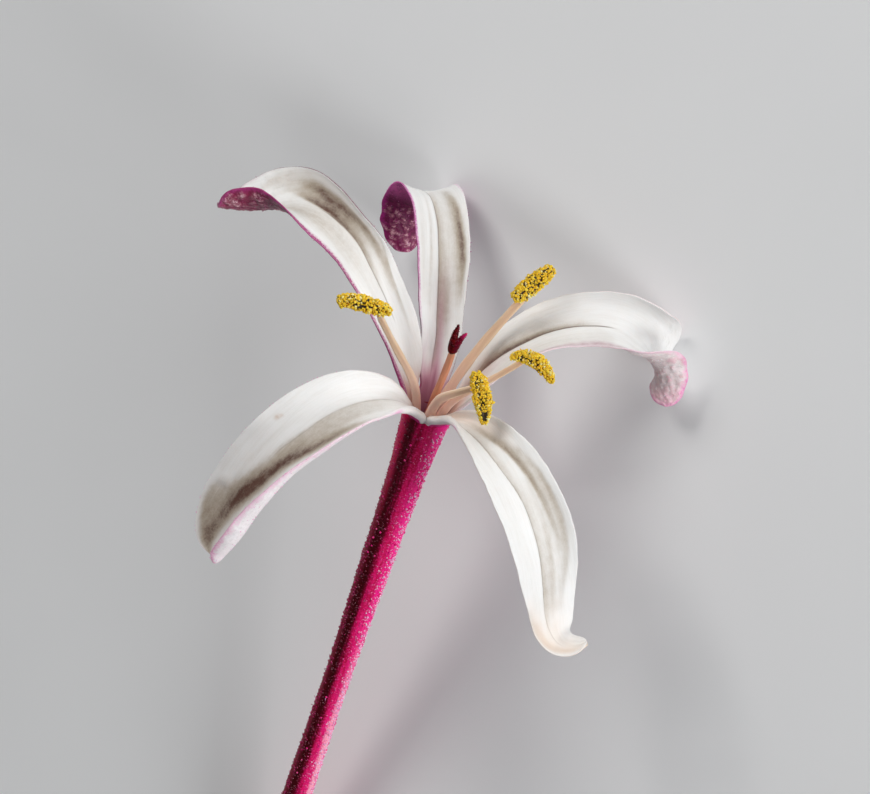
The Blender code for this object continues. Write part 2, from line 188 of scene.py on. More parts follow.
PETAL_LOOKS = {
    "petal_upper_left": dict(
        vein=((0.3, -0.1), (0.42, -0.13), (0.46, -0.15), (0.51, -0.2), (0.55, -0.17), (0.6, -0.12),
              (0.64, -0.1)),
        shades=[
            [(0.36, -0.1, 0.08, 0.25, 0.1), (0.44, -0.14, 0.3, 0.35, 0.05), (0.51, -0.2, 0.5, 0.4, 0.05),
             (0.56, -0.17, 0.66, 0.45, 0.05), (0.62, -0.11, 0.8, 0.5, 0.06),
             (0.68, -0.15, 0.9, 0.5, 0.07), (0.72, -0.22, 0.8, 0.45, 0.1), (0.76, -0.4, 0.36, 0.4, 0.2),
             (0.79, -0.54, 0.1, 0.3, 0.25)],
            [(0.36, -0.54, 0.16, 0.22, 0.25), (0.42, -0.66, 0.4, 0.22, 0.3),
             (0.5, -0.7, 0.55, 0.24, 0.35), (0.57, -0.63, 0.7, 0.3, 0.36), (0.62, -0.48, 0.82, 0.4, 0.42),
             (0.68, -0.45, 0.86, 0.5, 0.5), (0.72, -0.56, 0.76, 0.52, 0.5),
             (0.76, -0.64, 0.34, 0.45, 0.45), (0.82, -0.7, 0.16, 0.4, 0.4)],
            [(0.22, -0.65, 0.16, 0.06, 0.22), (0.3, -0.65, 0.28, 0.06, 0.24),
             (0.4, -0.74, 0.36, 0.06, 0.2), (0.48, -0.9, 0.28, 0.06, 0.16),
             (0.53, -0.97, 0.14, 0.06, 0.16)],
            [(0.74, -0.9, 0.16, 0.35, 0.35), (0.82, -0.85, 0.24, 0.3, 0.4), (0.88, -0.6, 0.2, 0.3, 0.4),
             (0.93, -0.5, 0.08, 0.3, 0.4)],
            [(0.3, 0.3, 0.1, 1.2, 0.8), (0.5, 0.3, 0.26, 1.2, 0.9), (0.65, 0.3, 0.36, 1.2, 0.9),
             (0.8, 0.2, 0.36, 1.2, 0.9), (0.9, 0.0, 0.24, 1.0, 0.9)],
        ],
        tints=[[(0.0, 0.5, 0.5, 0.4, 0.4), (0.06, 0.5, 0.3, 0.3, 0.3), (0.12, 0.5, 0.05, 0.3, 0.3)]],
        mauves=[[(0.05, 0.9, 0.3, 0.5, 0.3), (0.2, 0.85, 0.2, 0.4, 0.3), (0.34, 0.8, 0.08, 0.3, 0.3)]],
        edges={1: ((0.0, 0.8, 0.3), (0.1, 0.75, 0.22), (0.3, 0.7, 0.15), (0.5, 0.8, 0.19),
                   (0.7, 1.0, 0.28), (0.85, 1.0, 0.3), (1.0, 1.0, 0.3)),
               -1: ((0.0, 0.0, 0.1), (0.78, 0.0, 0.1), (0.92, 0.4, 0.14), (1.0, 0.8, 0.2))},
        blush=(0.72, 0.42, 0.34), blush_reach=0.12, back=(0.17, 0.016, 0.06), rim=(0.4, 0.04, 0.2),
        tip=(0.3, 0.03, 0.09), tip_from=0.84, line=0.5,
        pale=0.12, lumps=280, bristles=14, torn=0.022, closing=-1,
    ),
    "petal_top": dict(
        vein=((0.02, 0.56), (0.08, 0.46), (0.14, 0.38), (0.2, 0.21), (0.25, 0.16), (0.29, 0.1),
              (0.33, 0.06), (0.43, 0.06), (0.49, 0.08), (0.54, 0.06), (0.58, 0.08), (0.63, 0.12),
              (0.68, 0.12)),
        shades=[
            [(0.1, 0.42, 0.45, 0.25, 0.05), (0.2, 0.2, 0.6, 0.35, 0.05), (0.29, 0.09, 0.58, 0.42, 0.05),
             (0.4, 0.06, 0.46, 0.45, 0.05), (0.5, 0.07, 0.42, 0.4, 0.05), (0.6, 0.1, 0.38, 0.4, 0.05),
             (0.68, 0.12, 0.2, 0.35, 0.05)],
            [(0.3, -0.8, 0.16, 0.18, 0.3), (0.36, -0.8, 0.44, 0.18, 0.34), (0.43, -0.79, 0.72, 0.2, 0.36),
             (0.49, -0.75, 0.84, 0.22, 0.36), (0.54, -0.7, 0.78, 0.24, 0.36),
             (0.59, -0.66, 0.66, 0.26, 0.36), (0.64, -0.58, 0.5, 0.28, 0.36),
             (0.68, -0.48, 0.24, 0.28, 0.3)],
            [(0.28, 0.5, 0.1, 0.2, 0.1), (0.42, 0.42, 0.24, 0.2, 0.1), (0.54, 0.38, 0.26, 0.2, 0.1),
             (0.66, 0.38, 0.14, 0.2, 0.1)],
            [(0.2, -0.27, 0.2, 0.25, 0.25), (0.28, -0.25, 0.3, 0.28, 0.28), (0.36, -0.3, 0.2, 0.3, 0.3)],
            [(0.25, -0.2, 0.16, 1.3, 0.9), (0.45, -0.4, 0.26, 1.3, 0.8), (0.6, -0.4, 0.26, 1.3, 0.8),
             (0.7, -0.3, 0.16, 1.2, 0.8)],
            [(0.3, 0.75, 0.14, 0.5, 0.4), (0.5, 0.75, 0.2, 0.5, 0.4), (0.66, 0.7, 0.1, 0.5, 0.4)],
        ],
        tints=[
            [(0.0, 0.42, 0.95, 0.5, 0.4), (0.05, 0.3, 0.9, 0.45, 0.4), (0.1, 0.2, 0.75, 0.35, 0.35),
             (0.14, 0.1, 0.55, 0.3, 0.3), (0.22, 0.0, 0.4, 0.25, 0.22), (0.3, -0.06, 0.22, 0.25, 0.2),
             (0.37, -0.1, 0.06, 0.25, 0.2)],
            [(0.0, 0.9, 0.7, 0.3, 0.3), (0.07, 0.94, 0.4, 0.25, 0.25), (0.12, 0.94, 0.25, 0.2, 0.2),
             (0.2, 0.75, 0.08, 0.2, 0.2)],
        ],
        mauves=[[(0.15, 0.3, 0.2, 0.9, 0.5), (0.3, 0.0, 0.22, 0.8, 0.5), (0.42, -0.1, 0.1, 0.6, 0.4)]],
        dents=[(0.7, 0.12, (0.6, 0.5), -0.08)],
        edges={1: ((0.0, 0.0, 0.1), (0.14, 0.0, 0.1), (0.24, 0.3, 0.1), (0.34, 0.6, 0.1), (0.5, 0.7, 0.1),
                   (0.66, 0.8, 0.14), (0.74, 1.0, 0.2), (0.86, 0.9, 0.2), (0.94, 0.4, 0.2),
                   (1.0, 0.3, 0.2)),
               -1: ((0.0, 0.0, 0.1), (0.6, 0.0, 0.1), (0.74, 0.5, 0.14), (0.84, 0.9, 0.2),
                    (0.93, 0.4, 0.2), (1.0, 0.3, 0.2))},
        blush=(0.52, 0.2, 0.3), blush_reach=0.14, back=(0.23, 0.01, 0.1), rim=(0.5, 0.03, 0.3),
        tip=(0.25, 0.02, 0.09), tip_from=0.9, line=0.5,
        pale=0.1, lumps=260, lumps_from=0.79, bristles=16, torn=0.022, closing=1, loop=1.0,
    ),
    "petal_right": dict(
        vein=((0.1, 0.45), (0.175, 0.38), (0.225, 0.26), (0.267, 0.2), (0.308, 0.12), (0.346, 0.07),
              (0.4, 0.05), (0.425, 0.04), (0.458, 0.0), (0.5, -0.04), (0.542, -0.1), (0.575, -0.15),
              (0.617, -0.17)),
        shades=[
            [(0.12, 0.44, 0.4, 0.05, 0.2), (0.175, 0.38, 0.75, 0.06, 0.22),
             (0.225, 0.26, 0.95, 0.06, 0.25), (0.3, 0.13, 1.0, 0.07, 0.24), (0.36, 0.06, 1.0, 0.07, 0.22),
             (0.41, 0.05, 0.85, 0.06, 0.2), (0.45, 0.01, 0.5, 0.05, 0.2), (0.52, -0.07, 0.3, 0.05, 0.25),
             (0.6, -0.16, 0.12, 0.05, 0.3)],
            [(0.14, 0.44, 0.16, 0.05, 0.55), (0.22, 0.28, 0.28, 0.05, 0.65),
             (0.32, 0.11, 0.28, 0.05, 0.6), (0.44, 0.02, 0.2, 0.05, 0.55), (0.55, -0.1, 0.1, 0.05, 0.5)],
            [(0.2, -0.5, 0.14, 0.9, 0.8), (0.35, -0.5, 0.2, 0.9, 0.6), (0.5, -0.55, 0.2, 0.8, 0.5),
             (0.65, -0.6, 0.14, 0.7, 0.5)],
            [(0.2, 0.3, 0.15, 0.2, 0.1), (0.3, 0.12, 0.3, 0.2, 0.1), (0.38, 0.05, 0.42, 0.16, 0.1),
             (0.44, 0.02, 0.2, 0.14, 0.1)],
            [(0.2, 0.5, 0.1, 0.5, 0.5), (0.28, 0.45, 0.18, 0.5, 0.5), (0.36, 0.4, 0.2, 0.5, 0.55),
             (0.44, 0.3, 0.16, 0.5, 0.5), (0.52, 0.2, 0.1, 0.5, 0.4), (0.6, 0.1, 0.04, 0.5, 0.4)],
            [(0.34, 0.83, 0.08, 0.2, 0.15), (0.45, 0.76, 0.16, 0.2, 0.15), (0.56, 0.79, 0.06, 0.2, 0.15)],
        ],
        tints=[[(0.0, 0.2, 0.9, 0.6, 0.6), (0.08, 0.2, 0.6, 0.7, 0.7), (0.16, 0.25, 0.28, 0.8, 0.8),
                (0.24, 0.3, 0.06, 0.8, 0.8)]],
        mauves=[[(0.3, -1.0, 0.3, 0.2, 0.25), (0.45, -0.98, 0.62, 0.2, 0.28),
                 (0.57, -0.95, 0.7, 0.2, 0.3), (0.68, -0.92, 0.7, 0.2, 0.32), (0.78, -0.88, 0.4, 0.2, 0.3)],
                [(0.1, 0.3, 0.25, 0.6, 0.6), (0.24, 0.1, 0.2, 0.6, 0.6), (0.34, -0.2, 0.08, 0.5, 0.5)]],
        edges={-1: ((0.0, 0.05, 0.1), (0.3, 0.1, 0.1), (0.5, 0.16, 0.12), (0.72, 0.26, 0.14),
                    (0.84, 0.45, 0.16), (0.92, 0.9, 0.2), (1.0, 1.0, 0.2)),
               1: ((0.0, 0.0, 0.1), (0.87, 0.0, 0.1), (0.93, 0.8, 0.16), (1.0, 1.0, 0.2))},
        blush=(0.78, 0.5, 0.4), blush_reach=0.1, back=(0.97, 0.84, 0.85), rim=(0.93, 0.32, 0.6),
        tip=(0.97, 0.55, 0.68), tip_from=0.9, line=0.85,
        pale=0.8, lumps=150, bristles=14, torn=0.012, seam=0.03, frosty=True,
    ),
    "petal_lower_right": dict(
        vein=((0.06, -0.85), (0.1, -0.8), (0.167, -0.64), (0.225, -0.46), (0.279, -0.36), (0.346, -0.28),
              (0.4, -0.21), (0.442, -0.11), (0.488, -0.05), (0.538, -0.03), (0.633, -0.04),
              (0.679, -0.08), (0.729, -0.15), (0.779, -0.22), (0.821, -0.28), (0.86, -0.24), (0.9, -0.1)),
        shades=[
            [(0.08, -0.8, 0.08, 0.04, 0.3), (0.2, -0.52, 0.26, 0.04, 0.5), (0.35, -0.28, 0.32, 0.04, 0.5),
             (0.5, -0.04, 0.34, 0.04, 0.5), (0.65, -0.06, 0.34, 0.04, 0.5),
             (0.78, -0.22, 0.36, 0.04, 0.45), (0.86, -0.24, 0.16, 0.04, 0.3)],
            [(0.16, 0.0, 0.1, 0.3, 0.3), (0.22, 0.05, 0.32, 0.26, 0.36), (0.27, 0.12, 0.54, 0.2, 0.36),
             (0.32, 0.27, 0.64, 0.16, 0.36), (0.37, 0.35, 0.64, 0.14, 0.32),
             (0.43, 0.43, 0.56, 0.12, 0.28), (0.49, 0.46, 0.46, 0.12, 0.24),
             (0.56, 0.48, 0.28, 0.14, 0.2), (0.64, 0.56, 0.1, 0.16, 0.2)],
            [(0.36, 0.64, 0.22, 0.24, 0.2), (0.43, 0.74, 0.38, 0.26, 0.2), (0.5, 0.76, 0.42, 0.3, 0.22),
             (0.59, 0.76, 0.4, 0.32, 0.22), (0.68, 0.72, 0.3, 0.3, 0.2), (0.75, 0.6, 0.22, 0.3, 0.2),
             (0.82, 0.48, 0.1, 0.3, 0.2)],
            [(0.45, 0.3, 0.1, 0.3, 0.2), (0.6, 0.3, 0.2, 0.3, 0.2), (0.75, 0.2, 0.24, 0.3, 0.2),
             (0.84, 0.1, 0.12, 0.3, 0.2)],
            [(0.1, 0.3, 0.1, 0.6, 0.6), (0.2, 0.4, 0.15, 0.7, 0.6), (0.35, 0.5, 0.2, 0.7, 0.5),
             (0.5, 0.55, 0.22, 0.8, 0.45), (0.7, 0.45, 0.2, 0.8, 0.45), (0.82, 0.3, 0.14, 0.7, 0.5)],
            [(0.82, -1.0, 0.2, 0.3, 0.25), (0.87, -0.85, 0.5, 0.3, 0.3), (0.91, -0.7, 0.55, 0.3, 0.3),
             (0.95, -0.4, 0.4, 0.3, 0.25), (0.98, -0.2, 0.1, 0.3, 0.2)],
            [(0.88, 0.1, 0.1, 0.3, 0.3), (0.93, 0.2, 0.22, 0.3, 0.3), (0.97, 0.2, 0.1, 0.3, 0.3)],
            [(0.2, -0.6, 0.05, 0.8, 0.9), (0.4, -0.6, 0.12, 0.8, 0.9), (0.8, -0.6, 0.12, 0.8, 0.9),
             (0.9, -0.5, 0.05, 0.8, 0.8)],
        ],
        tints=[[(0.0, 0.2, 0.9, 0.8, 0.8), (0.05, 0.3, 0.8, 0.8, 0.8), (0.12, 0.4, 0.66, 0.8, 0.8),
                (0.2, 0.5, 0.5, 0.7, 0.8), (0.3, 0.6, 0.2, 0.6, 0.6)],
               [(0.8, 0.2, 0.1, 1.0, 1.0), (0.88, 0.0, 0.4, 1.0, 1.0), (0.95, 0.0, 0.4, 0.8, 0.8)],
               [(0.78, -0.9, 0.2, 0.4, 0.5), (0.86, -0.85, 0.7, 0.4, 0.5), (0.92, -0.7, 0.8, 0.4, 0.5),
                (0.98, -0.3, 0.4, 0.4, 0.5)]],
        spots=[(0.045, 0.7, 0.07, 0.6)],
        edges={1: ((0.0, 0.0, 0.1), (1.0, 0.2, 0.1)), -1: ((0.0, 0.0, 0.1), (1.0, 0.2, 0.1))},
        blush=(0.84, 0.7, 0.6), blush_reach=0.06, back=(0.9, 0.82, 0.8), rim=(0.88, 0.72, 0.72),
        tip=(0.74, 0.62, 0.48), tip_from=0.9, line=0.4,
        pale=0.9, bristles=8, lip=1.0, frosty=True,
    ),
    "petal_lower_left": dict(
        vein=((0.06, -0.15), (0.1, -0.1), (0.162, -0.03), (0.233, 0.01), (0.292, 0.0), (0.342, -0.02),
              (0.421, -0.04), (0.458, -0.04), (0.492, -0.06), (0.529, -0.09), (0.57, -0.15)),
        shades=[
            [(0.1, -0.1, 0.08, 0.12, 0.4), (0.2, 0.02, 0.28, 0.12, 0.5), (0.32, 0.01, 0.34, 0.12, 0.6),
             (0.42, -0.02, 0.36, 0.14, 0.6), (0.5, -0.05, 0.34, 0.18, 0.5), (0.57, -0.12, 0.16, 0.25, 0.4)],
            [(0.15, 0.5, 0.1, 0.4, 0.4), (0.22, 0.46, 0.24, 0.45, 0.4), (0.32, 0.38, 0.34, 0.5, 0.5),
             (0.42, 0.27, 0.42, 0.5, 0.6), (0.52, 0.18, 0.44, 0.5, 0.6), (0.6, 0.05, 0.3, 0.4, 0.5)],
            [(0.27, 0.85, 0.14, 0.25, 0.3), (0.34, 0.68, 0.44, 0.3, 0.35), (0.39, 0.57, 0.62, 0.34, 0.4),
             (0.44, 0.5, 0.74, 0.38, 0.45), (0.5, 0.4, 0.8, 0.42, 0.5), (0.55, 0.27, 0.88, 0.46, 0.55),
             (0.6, 0.14, 0.94, 0.46, 0.6), (0.65, 0.04, 1.03, 0.5, 0.68), (0.7, -0.05, 1.1, 0.55, 0.74),
             (0.75, -0.17, 1.1, 0.6, 0.78), (0.79, -0.25, 1.0, 0.62, 0.78),
             (0.83, -0.31, 0.86, 0.62, 0.76), (0.87, -0.35, 0.76, 0.6, 0.72),
             (0.91, -0.42, 0.74, 0.56, 0.66), (0.945, -0.46, 0.76, 0.5, 0.55),
             (0.975, -0.45, 0.5, 0.35, 0.4), (0.995, -0.38, 0.3, 0.2, 0.2)],
            [(0.5, 0.05, 0.2, 0.5, 0.5), (0.57, -0.04, 0.36, 0.5, 0.5), (0.64, -0.12, 0.4, 0.6, 0.5),
             (0.7, -0.22, 0.44, 0.6, 0.5), (0.76, -0.4, 0.44, 0.6, 0.5), (0.83, -0.58, 0.44, 0.6, 0.5),
             (0.9, -0.66, 0.44, 0.6, 0.5), (0.96, -0.62, 0.42, 0.5, 0.5)],
            [(0.77, -0.74, 0.16, 0.4, 0.5), (0.81, -0.82, 0.4, 0.4, 0.6), (0.86, -0.85, 0.46, 0.4, 0.6),
             (0.92, -0.8, 0.46, 0.35, 0.5), (0.97, -0.7, 0.3, 0.3, 0.4)],
            [(0.46, -0.4, 0.06, 0.2, 0.25), (0.55, -0.47, 0.14, 0.22, 0.3),
             (0.66, -0.52, 0.16, 0.25, 0.3), (0.74, -0.54, 0.08, 0.2, 0.25)],
        ],
        mauves=[[(0.3, 1.0, 0.3, 0.3, 0.3), (0.45, 0.98, 0.6, 0.4, 0.3), (0.58, 0.92, 0.8, 0.55, 0.4),
                 (0.72, 0.85, 0.9, 0.7, 0.4), (0.9, 0.8, 0.9, 0.8, 0.4)]],
        spots=[(0.512, -0.73, 0.16, 0.6), (0.5, -0.69, 0.12, 0.45)],
        dents=[(0.77, -0.7, (0.5, 0.4), 0.07), (0.795, -0.72, (0.28, 0.45), -0.06)],
        edges={1: ((0.0, 0.1, 0.08), (0.3, 0.2, 0.08), (0.6, 0.4, 0.1), (0.85, 0.6, 0.14),
                   (1.0, 0.8, 0.18)),
               -1: ((0.0, 0.0, 0.1), (0.9, 0.0, 0.1), (1.0, 0.3, 0.1))},
        blush=(0.86, 0.8, 0.77), blush_reach=0.04, back=(0.97, 0.9, 0.92), rim=(0.82, 0.24, 0.52),
        tip=(0.97, 0.8, 0.88), tip_from=0.88, line=0.22, mauve=(0.98, 0.56, 0.7),
        pale=0.95, bristles=60, last=0.984, blunt=0.34, lip=1.0,
    ),
}

# How far the roots of small hairs stay from the sides and the bottom of the solids' box, in metres
SIDE_ROOM = 0.00012
FLOOR_ROOM = 0.00022

# Camera: the photograph's scale, its distance and where its middle lies from the mouth
LEAN_RIGHT = 18.9
TOWARD = 32.0
CAMERA_AWAY = 260.0
CAMERA_ASIDE = (0.4375, 0.875)
LENS = 172.1


# Shapes

TURN = Euler([math.radians(angle) for angle in LIE], "XYZ").to_matrix()
TURN_ROWS = np.array(TURN)


def place(points):
    """Points of the bloom's frame in mm, as metres where the bloom lies, kept inside the solids' box."""
    world = np.asarray(points, dtype=float).reshape(-1, 3) @ TURN_ROWS.T + np.array(MOUTH_AT)
    return np.clip(world * MM, np.array(cad_low), np.array(cad_high))


def inside(roots):
    """Which roots are clear of the floor and of the sides of the solids' box."""
    at = place(roots)
    low, high = np.array(cad_low) + SIDE_ROOM, np.array(cad_high) - SIDE_ROOM
    low[2] = FLOOR_ROOM
    return ((at > low) & (at < high)).all(axis=1)


def through(values, t):
    """Smooth curve through evenly spaced values, read at t from 0 to 1."""
    padded = np.array([2 * values[0] - values[1], *values, 2 * values[-1] - values[-2]], dtype=float)
    spans = len(values) - 1
    x = np.clip(t, 0.0, 1.0) * spans
    i = np.minimum(x.astype(int), spans - 1)
    f = x - i
    a, b, c, d = padded[i], padded[i + 1], padded[i + 2], padded[i + 3]
    return 0.5 * (2 * b + (c - a) * f + (2 * a - 5 * b + 4 * c - d) * f**2 + (3 * b - a - 3 * c + d) * f**3)


def smooth(x):
    """A smooth rise from 0 to 1, flat below 0 and above 1."""
    x = np.clip(x, 0.0, 1.0)
    return x * x * (3 - 2 * x)


def unit(rows):
    """The same directions, each of length 1."""
    return rows / np.linalg.norm(rows, axis=1)[:, None]


def heading(lean, azimuth):
    """Unit directions at angles from +Z and azimuths round it."""
    return np.stack([np.sin(lean) * np.cos(azimuth), np.sin(lean) * np.sin(azimuth), np.cos(lean)], axis=1)


def spanned(first, second, a, b):
    """At each row, all sums of a times the first direction and b times the second."""
    return first[:, None] * a[None, :, None] + second[:, None] * b[None, :, None]


def read_rows(at, rows, s):
    """Rows of values given at some places, read at others."""
    return np.stack([np.interp(s, at, column) for column in rows.T], axis=-1)


def turned(vectors, axis, angle):
    """Vectors turned about one axis, each by its own angle."""
    cosine = np.cos(angle)[:, None]
    sine = np.sin(angle)[:, None]
    along = (vectors @ axis)[:, None] * axis
    return vectors * cosine + np.cross(axis, vectors) * sine + along * (1 - cosine)


def ripple(rng, count, lowest, highest):
    """A smooth random function of one variable, made of a few sines, between about -1 and 1."""
    waves = []
    for _ in range(count):
        waves.append((rng.uniform(lowest, highest), rng.uniform(0, ROUND), rng.uniform(0.5, 1.0)))
    total = math.sqrt(sum(a * a for _, _, a in waves))
    return lambda x: sum(a * np.sin(ROUND * f * x + p) for f, p, a in waves) / total


def eased(at, values, s):
    """Values between given places, rounded off where they turn."""
    fine = np.linspace(-0.15, 1.15, 521)
    kernel = np.hanning(23)
    padded = np.pad(np.interp(fine, at, values), 11, mode="edge")
    return np.interp(s, fine, np.convolve(padded, kernel / kernel.sum(), mode="valid"))


def outward(points, faces):
    """The same faces, turned round if the closed skin faces inwards."""
    total = 0.0
    for face in faces:
        a = points[face[0]]
        for m in range(1, len(face) - 1):
            total += float(np.dot(a, np.cross(points[face[m]], points[face[m + 1]])))
    return faces if total > 0 else [tuple(reversed(face)) for face in faces]


def stack_loops(loops):
    """Points and outward faces of a skin over closed loops of equal length, with its ends capped."""
    rows, count = loops.shape[:2]
    i = np.arange(rows - 1)[:, None] * count
    j = np.arange(count)[None, :]
    k = (j + 1) % count
    faces = np.stack([i + j, i + k, i + count + k, i + count + j], axis=-1).reshape(-1, 4).tolist()
    base, centre = (rows - 1) * count, rows * count
    faces += [(a, centre, (a + 1) % count) for a in range(count)]
    faces += [(base + (a + 1) % count, centre + 1, base + a) for a in range(count)]
    points = np.vstack([loops.reshape(-1, 3), loops[0].mean(axis=0), loops[-1].mean(axis=0)])
    return points, outward(points, faces)


def capped(grid, first=None, last=None):
    """Values of all points of stacked loops, and one for each cap: given, or the mean of its loop."""
    first = grid[0].mean() if first is None else first
    last = grid[-1].mean() if last is None else last
    return np.concatenate([grid.ravel(), [first, last]])


def linked(name, data):
    """A new object in the scene."""
    thing = bpy.data.objects.new(name, data)
    bpy.context.scene.collection.objects.link(thing)
    return thing


def make(name, points, faces, materials, slot, values=None, slots=None, node=None):
    """A smooth mesh object from points in the bloom's frame, with its point values as attributes."""
    mesh = bpy.data.meshes.new(name)
    mesh.from_pydata(place(points).tolist(), [], [tuple(face) for face in faces])
    for material in materials:
        mesh.materials.append(material)
    if slots is not None:
        mesh.polygons.foreach_set("material_index", np.asarray(slots, dtype=np.int32))
    for key, value in (values or {}).items():
        value = np.asarray(value, dtype=np.float32)
        vector = value.ndim == 2
        layer = mesh.attributes.new(key, "FLOAT_VECTOR" if vector else "FLOAT", "POINT")
        layer.data.foreach_set("vector" if vector else "value", value.ravel())
    mesh.validate()
    mesh.shade_smooth()
    thing = linked(name, mesh)
    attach(thing, "root")
    if node:
        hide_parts(node)


def frames_along(line, facing):
    """Two unit vectors square to a line at each point, the first as near to facing as it can be."""
    along = unit(np.gradient(line, axis=0))
    facing = np.array(facing)
    first = unit(facing[None, :] - along * (along @ facing)[:, None])
    return first, np.cross(along, first)


# Small grown things: short hairs, beads and grains, many to a mesh

HAIR_SIDES = 5
HAIR = [(-0.12, 1.15), (0.3, 0.8), (0.68, 0.72), (0.88, 0.9)]
BEAD = [(-0.3, 1.0), (0.3, 1.05), (0.75, 0.78)]
GRAIN_ROUGH = 0.22


def hairs(rng, roots, directions, lengths, radii, bend=0.35, profile=HAIR):
    """Slightly bent hairs with round heads, or beads. Returns points, faces, and for each point a
    random value for its hair and its share of the height."""
    count = len(roots)
    directions = unit(directions)
    helper = np.where(np.abs(directions[:, :1]) < 0.8, [[1.0, 0.0, 0.0]], [[0.0, 1.0, 0.0]])
    first = unit(np.cross(directions, helper))
    second = np.cross(directions, first)
    turn = rng.uniform(0, ROUND, count)
    lean = (first * np.cos(turn)[:, None] + second * np.sin(turn)[:, None]) * bend
    angle = np.arange(HAIR_SIDES) * ROUND / HAIR_SIDES
    ring = spanned(first, second, np.cos(angle), np.sin(angle))
    rings = []
    for t, size in profile:
        centre = roots + directions * (lengths * t)[:, None] + lean * (lengths * t * abs(t))[:, None]
        rings.append(centre[:, None] + ring * (radii * size)[:, None, None])
    tip = roots + directions * lengths[:, None] + lean * lengths[:, None]
    block = np.concatenate([*rings, tip[:, None]], axis=1)
    per = block.shape[1]
    top = (len(profile) - 1) * HAIR_SIDES
    steps = [(a, (a + 1) % HAIR_SIDES) for a in range(HAIR_SIDES)]
    faces = []
    for row in range(0, top, HAIR_SIDES):
        faces += [(row + a, row + b, row + HAIR_SIDES + b, row + HAIR_SIDES + a) for a, b in steps]
    faces += [(top + a, top + b, per - 1) for a, b in steps]
    out = [tuple(v + h * per for v in face) for h in range(count) for face in faces]
    head = np.append(np.repeat(np.linspace(0.0, 0.85, len(profile)), HAIR_SIDES), 1.0)
    return block.reshape(-1, 3), out, np.repeat(rng.uniform(0, 1, count), per), np.tile(head, count)


def each_point(values, points):
    """One value for each hair, repeated for all of its points."""
    return np.repeat(values, len(points) // len(values))


def join(parts):
    """Several lots of points, faces and values as one."""
    points, faces, values = [], [], []
    start = 0
    for part_points, part_faces, *part_values in parts:
        points.append(part_points)
        faces += [tuple(v + start for v in face) for face in part_faces]
        values.append(part_values)
        start += len(part_points)
    return np.vstack(points), faces, *[np.concatenate(each) for each in zip(*values)]


def make_hairs(name, slot, look, points, faces, tint, head, dark=None):
    """A piece of hairs or beads, whose look is a dark colour, a light one and a roughness."""
    values = {"tint": tint, "head": head}
    if dark is not None:
        values["dark"] = dark
    make(name, points, faces, [hair_paint(name, *look)], slot, values)


def grain_shape():
    """Points and faces of a small round ball."""
    ball = bmesh.new()
    bmesh.ops.create_icosphere(ball, subdivisions=1, radius=1.0)
    points = np.array([vert.co for vert in ball.verts])
    faces = [tuple(vert.index for vert in face.verts) for face in ball.faces]
    ball.free()
    return points, faces


def grains(rng, centres, sizes):
    """Irregular crumbs. Returns points, faces and a random value for each crumb."""
    shape_points, shape_faces = grain_shape()
    count, per = len(centres), len(shape_points)
    stretch = rng.uniform(0.75, 1.3, (count, 1, 3))
    lumps = 1 + GRAIN_ROUGH * rng.standard_normal((count, per, 1))
    w, x, y, z = unit(rng.standard_normal((count, 4))).T
    turn = np.stack([
        1 - 2 * (y * y + z * z), 2 * (x * y - z * w), 2 * (x * z + y * w),
        2 * (x * y + z * w), 1 - 2 * (x * x + z * z), 2 * (y * z - x * w),
        2 * (x * z - y * w), 2 * (y * z + x * w), 1 - 2 * (x * x + y * y),
    ], axis=1).reshape(-1, 3, 3)
    shape = np.einsum("nij,npj->npi", turn, shape_points[None] * stretch * lumps)
    points = centres[:, None] + shape * np.asarray(sizes)[:, None, None]
    faces = [tuple(v + k * per for v in face) for k in range(count) for face in shape_faces]
    return points.reshape(-1, 3), faces, np.repeat(rng.uniform(0, 1, count), per)


# Materials, all from nodes

SHADER_INPUTS = {
    "specular": "Specular IOR Level",
    "soft": "Subsurface Weight",
    "soft_scale": "Subsurface Scale",
    "soft_radius": "Subsurface Radius",
    "coat": "Coat Weight",
    "coat_roughness": "Coat Roughness",
}


